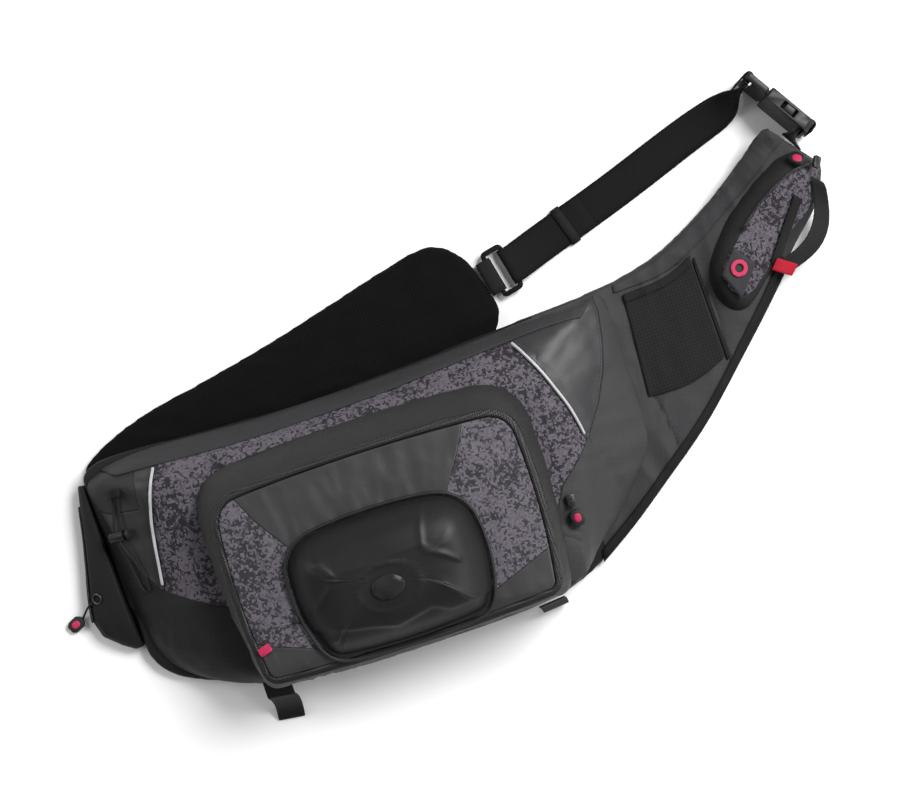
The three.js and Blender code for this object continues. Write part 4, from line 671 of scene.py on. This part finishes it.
# Seam lines of the main shell, in design millimetres
PIPING_LEFT = [(67, -24.5), (57.5, -50), (51, -75), (47, -100), (43, -125), (41, -133)]
PIPING_RIGHT = [(407, -17), (421, -42.5), (430, -65), (438, -87.5), (442.5, -112.5), (446, -125)]
RIGHT_SEAM = [(490, 8), (492, -12), (487, -38), (479, -64), (466, -90), (449, -114), (434, -131), (411, -150),
              (392, -182)]
LOW_SEAM = [(-6, -20), (2, -40), (12, -78), (26, -112), (41, -131), (65, -146), (90, -160), (160, -190), (300, -215),
            (420, -240)]
PATCH = [(-8, -4), (50, -14), (48, -22), (43.5, -54.5), (32, -53), (14, -50), (-8, -40)]

# Seam lines of the pocket's panel
PANEL_LEFT = [(118, -40), (128, -62), (136, -75), (145, -94), (168, -128), (190, -160)]
PANEL_RIGHT = [(351, -46), (343, -66), (330, -92), (309, -124), (290, -150)]
PANEL_LOW_LEFT = [(90, -186), (100, -190), (112, -197), (125, -203), (148, -211), (175, -222)]
PANEL_LOW_RIGHT = [(300, -222), (327, -215), (351, -206), (384, -194), (402, -187)]
POCKET_MIDDLE = 240

# Outline of the pocket's crest, as shares of the body's length and width, as in the part's source
BODY_LENGTH = 500.0
BODY_WIDTH = 250.0
CREST = dict(left=0.213, right=0.781, bottom=-0.95, top=-0.252, left_draw=0.005, right_draw=0.012, top_round=0.12,
             bottom_round=0.06)
SIDE_BOW = 4.0  # how far each side bows out in its middle, in millimetres
ARC_STEPS = 8
SIDE_STEPS = 16


def outline(shares):
    """A rounded, slightly bowed quadrilateral, drawn in towards its bottom, in design millimetres."""
    left = shares["left"] * BODY_LENGTH
    right = shares["right"] * BODY_LENGTH
    bottom = shares["bottom"] * BODY_WIDTH
    top = shares["top"] * BODY_WIDTH
    rt = shares["top_round"] * BODY_WIDTH
    rb = shares["bottom_round"] * BODY_WIDTH
    points = []
    corners = [(right - rt, top - rt, rt), (left + rt, top - rt, rt), (left + rb, bottom + rb, rb),
               (right - rb, bottom + rb, rb)]
    for k, (cx, cy, radius) in enumerate(corners):
        for i in range(ARC_STEPS + 1):
            angle = (k + i / ARC_STEPS) * math.pi / 2
            points.append((cx + radius * math.cos(angle), cy + radius * math.sin(angle)))
        after = (k + 1) % 4
        nx, ny, nr = corners[after]
        start = points[-1]
        end = (nx + nr * math.cos(after * math.pi / 2), ny + nr * math.sin(after * math.pi / 2))
        for i in range(1, SIDE_STEPS):
            share = i / SIDE_STEPS
            x = start[0] + (end[0] - start[0]) * share
            y = start[1] + (end[1] - start[1]) * share
            out = SIDE_BOW * 4 * share * (1 - share)
            if k % 2 == 0:
                y += out * math.copysign(1, y - (bottom + top) / 2)
            else:
                x += out * math.copysign(1, x - (left + right) / 2)
            points.append((x, y))
    made = []
    for x, y in points:
        share = (x - left) / (right - left)
        draw = shares["left_draw"] * BODY_LENGTH * (1 - share) - shares["right_draw"] * BODY_LENGTH * share
        made.append((x + draw * (top - y) / (top - bottom), y))
    return np.array(made)


crest_line = outline(CREST)

# Free pull cord of the wing's zip, on the route of its solid
PULL_ROUTE = [(-27.8, -120.8, 22.1), (-31.6, -122.9, 20.4), (-35.4, -125.1, 17.2), (-39.4, -128.2, 12.4),
              (-42.8, -130.9, 6.6), (-45.2, -133.0, 3.4), (-47.0, -134.5, 2.5)]
PULL_DIAMETER = 0.002
PULL_SIDES = 10
pull_line = to_frame(smooth_line(PULL_ROUTE, 3))
pull_cord = tube("pull_cord", pull_line, PULL_DIAMETER / 2, PULL_SIDES)
cord_look = webbing_look("cord_weave", 0.6, "151516", "2c2c2e", 0.0011)
dress(pull_cord, cord_look, "plastic", "wing_pull_cord")
wing_pull_tab = hard("wing_pull_tab", "wing_puller")

# Looks of the plain fabrics and the hard parts
ripstop_look = zoned("ripstop_look", plain_cloth, [], 0.3)
band_look = zoned("band_look", lambda look: plain_cloth(look, "2a2a2b", "38383a", 0.3), [], 0.35, 0.2)
webbing = webbing_look("webbing_look", 0.3)
strap_weave = webbing_look("strap_weave", 0.3, "080808", "0f0f0f")
loop_weave = webbing_look("loop_weave", -1.1, "1c1c1d", "29292a")
reflective_look = plastic_look("reflective_look", "a8a8ac", "d0d0d4", 0.35)
plastic_black = plastic_look("plastic_black")
plastic_ring = plastic_look("plastic_ring", "050505", "0b0b0c", 0.6, specular=0.15)
plastic_soft = plastic_look("plastic_soft", "161617", "222224", 0.45)
pink_rubber = plastic_look("pink_rubber", "b21e4c", "c93562", 0.5)
red_weave = webbing_look("red_weave", 0.2, "9c1828", "bd2638", 0.001)
zip_tape = zip_look("zip_tape")
metal_dull = metal_look("metal_dull")
thread_dark = plastic_look("thread_dark", "2a2a2b", "363638", 0.7)
thread_light = plastic_look("thread_light", "4a4a4c", "5a5a5d", 0.7)
moulded = moulded_look("moulded_skin")

# Main shell: camouflage front, coated side triangles, ripstop bottom
BAG_FOOT = -252  # the bag's lower edge, in design millimetres
LOOSE_FROM = 14  # height above the floor from which the cloth is loose
old_shell = tree_of(NODES["main_shell"])
shell = refined("shell_cloth", "main_shell", 3, 38, 30, 0.9)


def shell_folds(points, ups):
    """Sag and long folds on top, drawn in beside both pipings, calm at the floor and at the lower edge."""
    flat = points[:, :2]
    top = np.clip(ups[:, 2], 0, 1)
    side = 1 - top
    body = ripple(points, 34, 3.0, (1, 1.4, 1)) * 1.3 + ripple(points, 13, 8.0) * 0.55
    lengthwise = creases(points, 48, 5.0, (0.45, 2.2, 1)) * 0.9
    tuck = bump_profile(line_distance(flat, PIPING_LEFT) + 3, 4) + bump_profile(line_distance(flat, PIPING_RIGHT) - 3, 4)
    amount = (body + lengthwise - 0.9) * (0.35 + 0.65 * top) - tuck * 0.8 + side * ripple(points, 22, 12.0) * 0.8
    edge = np.clip((points[:, 2] - LOOSE_FROM) / 10, 0, 1) * np.clip((points[:, 1] - BAG_FOOT) / 8, 0.2, 1)
    return amount * edge


push(shell, shell_folds)
at = to_design(coords(shell))
flat = at[:, :2]
left_side = line_distance(flat, PIPING_LEFT)
right_side = line_distance(flat, PIPING_RIGHT)
low_side = line_distance(flat, LOW_SEAM)
seam_side = line_distance(flat, RIGHT_SEAM)
in_front = np.minimum(low_side, -seam_side)
below_band = -6 - at[:, 1]
store(shell, "camo", np.minimum.reduce([left_side, -right_side, in_front, below_band]))
store(shell, "coat", np.minimum(np.maximum(-left_side, right_side), in_front))
store(shell, "harness", np.where(low_side > 0, seam_side, -5))
store(shell, "patch", ring_distance(flat, PATCH))
SHELL_ZONES = [(camo_cloth, "camo"), (coated_cloth, "coat"), (harness_cloth, "harness"), (patch_cloth, "patch")]
shell_look = zoned("shell_look", plain_cloth, SHELL_ZONES, 0.4, 0.4, 0.26)
dress(shell, shell_look, "camo", "main_shell")
new_shell = tree_of(shell)

# Pocket gusset, panel and dome
GUSSET_LOW, GUSSET_HIGH = 50, 103  # heights between which the gusset's wall is loose
gusset = refined("gusset_cloth", "pocket_gusset", 3)


def gusset_folds(points, ups):
    side = 1 - np.abs(ups[:, 2])
    around = creases(points, 20, 21.0, (1, 1, 0.35)) * 1.4 + ripple(points, 9, 4.0) * 0.5 - 0.9
    loose = np.clip((points[:, 2] - GUSSET_LOW) / 14, 0, 1) * np.clip((GUSSET_HIGH - points[:, 2]) / 8, 0, 1)
    return around * side * loose


push(gusset, gusset_folds)
gusset_look = zoned("gusset_look", lambda look: plain_cloth(look, "202021", "2a2a2b", 0.2), [], 0.35, 0.5, 0.3)
dress(gusset, gusset_look, "leather", "pocket_gusset")

panel = refined("panel_cloth", "pocket_panel", 3)
old_panel = tree_of(NODES["pocket_panel"])


def panel_folds(points, ups):
    """Pulls in the middle field, weaker at the sides, none at the zip."""
    flat = points[:, :2]
    inner = np.clip(ring_distance(flat, crest_line) / 12, 0, 1) * np.clip(ups[:, 2], 0, 1)
    left = line_distance(flat, PANEL_LEFT)
    right = line_distance(flat, PANEL_RIGHT)
    middle = ((left > 0) & (right < 0)) | (line_distance(flat, PANEL_LOW_LEFT) < 0)
    pulls = creases(points, 26, 31.0, (2.0, 0.55, 1)) * 1.0 - 0.5
    folds = ripple(points, 18, 14.0, (1.3, 0.7, 1)) * 0.8
    return inner * (folds + np.where(middle, pulls, pulls * 0.4))


push(panel, panel_folds)
at = to_design(coords(panel))
flat = at[:, :2]
p_left = -line_distance(flat, PANEL_LEFT)
p_right = line_distance(flat, PANEL_RIGHT)
p_low = np.where(flat[:, 0] < POCKET_MIDDLE, line_distance(flat, PANEL_LOW_LEFT),
                 line_distance(flat, PANEL_LOW_RIGHT))
store(panel, "camo", np.minimum(np.maximum(p_left, p_right), p_low))
panel_look = zoned("panel_look", lambda look: coated_cloth(look, "2c2c2e", "3a3a3b"), [(camo_cloth, "camo")],
                   0.4, 0.4, 0.45)
dress(panel, panel_look, "leather", "pocket_panel")
new_panel = tree_of(panel)

dome = refined("dome_skin", "dome", 3, 24, 12, 0.6)
# Lines of the dome's relief, and the middle and half axes of its oval ridge, in design millimetres
DOME_RIB = [(286.6, -124.7), (280.6, -141.6), (277.6, -155.8), (281.2, -162.8), (293.2, -169.1), (304.4, -177.9)]
DOME_LEFT = [(187.1, -144.6), (194.6, -154.1), (196.4, -161.7), (189.1, -171.1), (179.9, -177.5), (172.2, -183.2)]
DOME_STEP = [(196, -207), (215.2, -210), (237.9, -217), (255.9, -212.6), (271.2, -208.9), (284.6, -217.4),
             (300, -217)]
DOME_BREAK = [(196.4, -157), (233.3, -159.0), (257.9, -155.3), (277.6, -155.8)]
OVAL_MIDDLE = (240, -182)
OVAL_HALF = (27.5, 20.5)


def dome_relief(points, ups):
    flat = points[:, :2]
    top = np.clip(ups[:, 2] * 1.4 - 0.1, 0, 1)
    rib = bump_profile(path_distance(flat, DOME_RIB), 2.4) * 1.1
    left = bump_profile(path_distance(flat, DOME_LEFT), 2.6) * 0.9
    low = line_distance(flat, DOME_STEP, 20)
    step = -1.8 / (1 + np.exp(low / 1.2)) + bump_profile(path_distance(flat, DOME_STEP), 2.2) * 0.7
    ledge = bump_profile(path_distance(flat, DOME_BREAK), 2.2) * 0.35
    oval = np.hypot(*((flat - OVAL_MIDDLE) / OVAL_HALF).T)
    ring = bump_profile((oval - 1) * 24, 1.8) * 0.9
    return top * (rib + left + step + ledge + ring)


push(dome, dome_relief)
dress(dome, moulded, "moulded", "dome")
badge = refined("badge_skin", "dome_badge", 1, 30)
dress(badge, moulded_look("badge_look", "1b1b1b", "222222", 0.35), "moulded", "dome_badge")
piping_dome = refined("dome_edge", "dome_piping", 1, 80)
follow(piping_dome, old_panel, new_panel, 0.0015)
dress(piping_dome, plastic_soft, "plastic", "dome_piping")

# Trims of the shell
for name, node, look, slot in (
    ("piping_left_cord", "piping_left", reflective_look, "reflective"),
    ("piping_right_cord", "piping_right", reflective_look, "reflective"),
    ("top_band_cloth", "top_band", band_look, "band"),
):
    piece = refined(name, node, 2, 30, 25, 0.85)
    follow(piece, old_shell, new_shell)
    dress(piece, look, slot, node)
zip_ring = refined("zip_ring", "pocket_zip", 1, 60)
dress(zip_ring, zip_tape, "zip", "pocket_zip")

# Harness: pad, edge binding, flat pocket, shoulder band
PAD_SEAMS = [[(517.6, -99.2), (521.4, -118.8), (524.7, -150)],
             [(592.7, -11.9), (596.9, -39.7), (594.4, -75.4), (595.5, -118)],
             [(537.4, 0.7), (561.3, 5.0), (586.9, 9.6), (585.2, 23.1), (604.1, 30.7)]]
HARNESS_FROM = 432  # where the harness cloth begins, and the shell covers the pad to its left
FLOOR_HELD = 3  # height under which the pads stay as they are
old_pad = tree_of(NODES["back_pad"])


def seam_reach(points):
    return np.min([path_distance(points[:, :2], line) for line in PAD_SEAMS], axis=0)


def pad_pins(points):
    """The pad stays at the floor, under the shell, under the low corner and along its seams."""
    held = (points[:, 2] < FLOOR_HELD) | (points[:, 0] < 445) | (points[:, 1] < -150)
    return held | (seam_reach(points) < 3.5)


pad = puffed("pad_mesh", "back_pad", pad_pins, 2.2)


def pad_swell(points, ups):
    top = np.clip(ups[:, 2], 0, 1)
    harness = np.clip((points[:, 0] - 430) / 60, 0, 1)
    wrinkles = creases(points, 34, 41.0, (1.6, 0.8, 1)) * 1.6 - 0.8 + ripple(points, 14, 2.0) * 0.7
    tucks = sum(bump_profile(path_distance(points[:, :2], line), 2.2) for line in PAD_SEAMS)
    return top * harness * wrinkles - top * tucks * 0.7


push(pad, pad_swell)
at = to_design(coords(pad))
store(pad, "harness", at[:, 0] - HARNESS_FROM)
off_top = np.where((normals(pad)[:, 2] > 0) & (at[:, 0] > 440), 0, 9)  # keeps the seams off the underside
store(pad, "seam", seam_reach(at) + off_top)
pad_look = zoned("pad_look", plain_cloth, [(harness_cloth, "harness"), (None, "seam")], 0.35, 0.4)
dress(pad, pad_look, "ripstop", "back_pad")
new_pad = tree_of(pad)
for name, node, look, slot, levels in (
    ("binding_tape", "edge_binding", webbing, "webbing", 1),
    # The flat pocket's net: its third colour is the painted shade in its holes.
    ("flat_pocket_net", "flat_pocket", mesh_look("pocket_net", "1d1d1e", "272728", "1a1a1b"), "mesh", 2),
    ("flat_pocket_edge", "flat_pocket_hem", webbing, "webbing", 2),
    ("harness_tape", "harness_seam", webbing, "webbing", 1),
    ("shoulder_band_cloth", "shoulder_band", band_look, "band", 2),
):
    piece = refined(name, node, levels, 60)
    follow(piece, old_pad, new_pad)
    dress(piece, look, slot, node)

# Shoulder pocket and its trims
shoulder = refined("shoulder_cloth", "shoulder_pocket", 3)


def shoulder_folds(points, ups):
    """Soft lumps on top, and creases around the wall above the seam at its foot."""
    top = np.clip(ups[:, 2] * 1.3, 0, 1)
    wall = (1 - top) * np.clip((points[:, 2] - 16) / 8, 0, 1)
    return ripple(points, 20, 51.0) * 0.9 * top + (creases(points, 13, 6.0, (1, 1, 0.4)) - 0.5) * 0.9 * wall


push(shoulder, shoulder_folds)
SHOULDER_FACE = [(611.4, -8.7), (623.6, 5.4), (639, 18.7), (659.6, 35), (677.6, 46.2), (692.5, 53.6), (706, 55.6),
                 (716.3, 55.7), (723, 54.7), (726, 51), (724.9, 42.8), (716.5, 30.4), (701.9, 14.9), (685.2, 4.9),
                 (665.1, -10.8), (645.7, -28.7), (631.5, -39.2), (621.2, -39.4), (612.2, -31.2), (608.2, -19.5)]
at = to_design(coords(shoulder))
store(shoulder, "camo", np.where(normals(shoulder)[:, 2] > 0, ring_distance(at[:, :2], SHOULDER_FACE), -5))
shoulder_look = zoned("shoulder_look", lambda look: plain_cloth(look, "1a1a1b", "272728", 0.3),
                      [(camo_cloth, "camo")], 0.4, 0.4)
dress(shoulder, shoulder_look, "camo", "shoulder_pocket")

# Wing: padded spacer mesh, held at the floor and along its root
wing = puffed("wing_mesh", "wing", lambda points: (points[:, 2] < FLOOR_HELD) | (points[:, 1] < -12), 2.5)


def wing_folds(points, ups):
    top = np.clip(ups[:, 2], 0, 1)
    return top * (ripple(points, 24, 61.0) * 1.0 + (creases(points, 30, 9.0, (0.6, 1.6, 1)) - 0.5) * 1.2)


push(wing, wing_folds)
dress(wing, mesh_look("wing_net"), "mesh", "wing")

# Wing pocket, swollen at its left side until it meets its zip
ZIP_GAP = 0.0019
ZIP_FOOT = 0.008
wing_pocket = hard("wing_pocket_cloth", "wing_pocket", 1.6, 25, 3)
at = coords(wing_pocket)
ups = normals(wing_pocket)
at[:, :2] += ups[:, :2] * ZIP_GAP * (np.clip(-ups[:, 0], 0, 1) * np.clip(at[:, 2] / ZIP_FOOT, 0, 1))[:, None]
set_coords(wing_pocket, at)
dress(wing_pocket, ripstop_look, "ripstop", "wing_pocket")
dress(wing_pull_tab, plastic_soft, "plastic", "wing_puller")

# The rest keep their solids' form. Rows with subdivision levels and a rim angle are soft, the others are hard.
for name, node, look, slot, *smoothing in (
    ("wing_zip_coil", "wing_zip", zip_tape, "zip", 1, 60),
    ("wing_slider_body", "wing_slider", metal_dull, "metal"),
    ("wing_end_tab", "wing_tab", webbing, "webbing", 1, 60),
    ("shoulder_zip_coil", "shoulder_pocket_zip", zip_tape, "zip", 1, 60),
    ("shoulder_patch_cloth", "shoulder_patch", band_look, "band", 1, 60),
    ("eyelet_ring", "eyelet", pink_rubber, "pink", 2, 70),
    ("sewn_tape", "sewn_strip", webbing, "webbing", 1, 60),
    ("loop_tape", "webbing_loop", loop_weave, "webbing", 2, 60),
    ("ring_wire", "strap_ring", plastic_ring, "plastic"),
    ("buckle_plug", "buckle_male", plastic_black, "plastic"),
    ("buckle_socket", "buckle_female", plastic_black, "plastic"),
    ("strap_tape", "strap", strap_weave, "webbing", 1, 60),
    ("keeper_loop", "strap_keeper", webbing, "webbing", 1, 60),
    ("buckle_end_tape", "buckle_tab", webbing, "webbing", 1, 60),
    ("elastic_cord", "shock_cord", cord_look, "plastic", 1, 90),
    ("lock_barrel", "cord_lock_barrel", plastic_black, "plastic"),
    ("guide_tape", "cord_guide", webbing, "webbing", 1, 60),
    ("bottom_loop_left", "bottom_tab_left", webbing, "webbing", 1, 60),
    ("bottom_loop_right", "bottom_tab_right", webbing, "webbing", 1, 60),
    ("pocket_slider_body", "pocket_slider", metal_dull, "metal"),
    ("pocket_pull_tab", "pocket_puller", plastic_soft, "plastic"),
    ("shoulder_slider_body", "shoulder_slider", metal_dull, "metal"),
    ("shoulder_pull_tab", "shoulder_puller", plastic_soft, "plastic"),
    ("pink_end_tab", "pink_tab", pink_rubber, "pink", 1, 35),
    ("dome_slider_body", "dome_slider", metal_dull, "metal"),
    ("side_edge_label", "side_label", red_weave, "red", 1, 60),
):
    dress(refined(name, node, *smoothing) if smoothing else hard(name, node), look, slot, node)
dress(hard("lock_push_button", "cord_lock_button"), plastic_soft, "plastic", "cord_lock_button", body=BUTTON)


# Pink inlays on the pullers: a round patch of a grid of points, in metres
INLAY_SHARE = 0.58
INLAY_RISE = 0.0006
INLAY_SINK = 0.0004  # how far its rim goes into the puller
INLAY_HALF = 3
INLAY_COUNT = 2 * INLAY_HALF + 1


def inlay(name, node):
    tree = tree_of(NODES[node])
    mid = np.mean([np.array(v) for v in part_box(node)], axis=0)
    spread = coords(NODES[node])
    axis = np.linalg.svd((spread - spread.mean(0))[:, :2])[2][0]
    across = np.array([-axis[1], axis[0]])
    reach = np.ptp(spread[:, :2] @ axis) * INLAY_SHARE / 2
    width = np.ptp(spread[:, :2] @ across) * INLAY_SHARE / 2
    rows, faces = [], []
    for i in range(INLAY_COUNT):
        for k in range(INLAY_COUNT):
            u, v = (i - INLAY_HALF) / INLAY_HALF, (k - INLAY_HALF) / INLAY_HALF
            u, v = u * math.sqrt(1 - v * v / 2), v * math.sqrt(1 - u * u / 2)
            x, y = mid[:2] + axis * u * reach + across * v * width
            z = nearest_height(tree, x, y)
            edge = max(abs(i - INLAY_HALF), abs(k - INLAY_HALF)) == INLAY_HALF
            rows.append((x, y, (mid[2] if z is None else z) + (-INLAY_SINK if edge else INLAY_RISE)))
    for i in range(INLAY_COUNT - 1):
        for k in range(INLAY_COUNT - 1):
            a = i * INLAY_COUNT + k
            faces.append((a, a + 1, a + INLAY_COUNT + 1, a + INLAY_COUNT))
    return dress(new_object(name, rows, faces), pink_rubber, "pink")


for name, node in (("wing_pull_inlay", "wing_puller"), ("pocket_pull_inlay", "pocket_puller"),
                   ("shoulder_pull_inlay", "shoulder_puller")):
    inlay(name, node)

# Stitch rows, laid on the finished cloth
shell_runs = [seated(new_shell, dense(smooth_line(line) + (3.2, 0))) for line in (PIPING_LEFT, PIPING_RIGHT)]
shell_runs.append(seated(new_shell, dense(smooth_line(RIGHT_SEAM[:6]) + np.array([-2.5, 0]))))
stitches("shell_stitches", shell_runs, thread_dark, "camo")
panel_runs = [seated(new_panel, dense(smooth_line(np.array(line) + (beside, 0))))
              for line, beside in ((PANEL_LEFT[1:5], -2.5), (PANEL_RIGHT[1:4], 2.5))]
stitches("panel_stitches", panel_runs, thread_light, "leather")
pad_runs = [seated(new_pad, dense(np.array(line) + (2.2, 0))) for line in PAD_SEAMS]
stitches("harness_stitches", pad_runs, thread_dark, "ripstop")


# Floor and studio light
FLOOR_REACH = 3
FLOOR_DROP = 0.0003  # the floor lies a touch under the bag
WORLD_STRENGTH = 0.22


def floor_look():
    look = Look("floor_look")
    tone = look.noise(1.2, 1.0)
    return look.finish(look.mix(tone, rgb("f7f7f7"), rgb("fafafa")), 0.9, specular=0.1)


corners = [(x * FLOOR_REACH, y * FLOOR_REACH, -FLOOR_DROP) for x, y in ((-1, -1), (1, -1), (1, 1), (-1, 1))]
floor = new_object("floor", corners, [(0, 1, 2, 3)])
floor.data.materials.append(floor_look())


def lamp(name, place, size, power):
    """A rectangular lamp at a place given from the middle of the view, in the camera's directions, aimed there."""
    place = middle + turn @ Vector(place)
    data = bpy.data.lights.new(name, "AREA")
    data.shape = "RECTANGLE"
    data.size, data.size_y = size
    data.energy = power
    obj = bpy.data.objects.new(name, data)
    obj.location = place
    obj.rotation_euler = (middle - place).to_track_quat("-Z", "Y").to_euler()
    bpy.context.scene.collection.objects.link(obj)


turn = Matrix.Rotation(CAMERA_TURN, 3, "Z")
middle = Vector((centre[0], centre[1], 0))
lamp("key", (1.35, 1.35, 2.3), (1.3, 1.1), 100)
lamp("left", (-2.0, 0.4, 1.5), (1.4, 1.0), 19)
lamp("right", (2.1, -0.3, 1.5), (1.4, 1.0), 20)
world = bpy.data.worlds.new("studio")
world.use_nodes = True
world.node_tree.nodes["Background"].inputs["Color"].default_value = (1, 1, 1, 1)
world.node_tree.nodes["Background"].inputs["Strength"].default_value = WORLD_STRENGTH
bpy.context.scene.world = world
bpy.context.scene.view_settings.view_transform = "Standard"
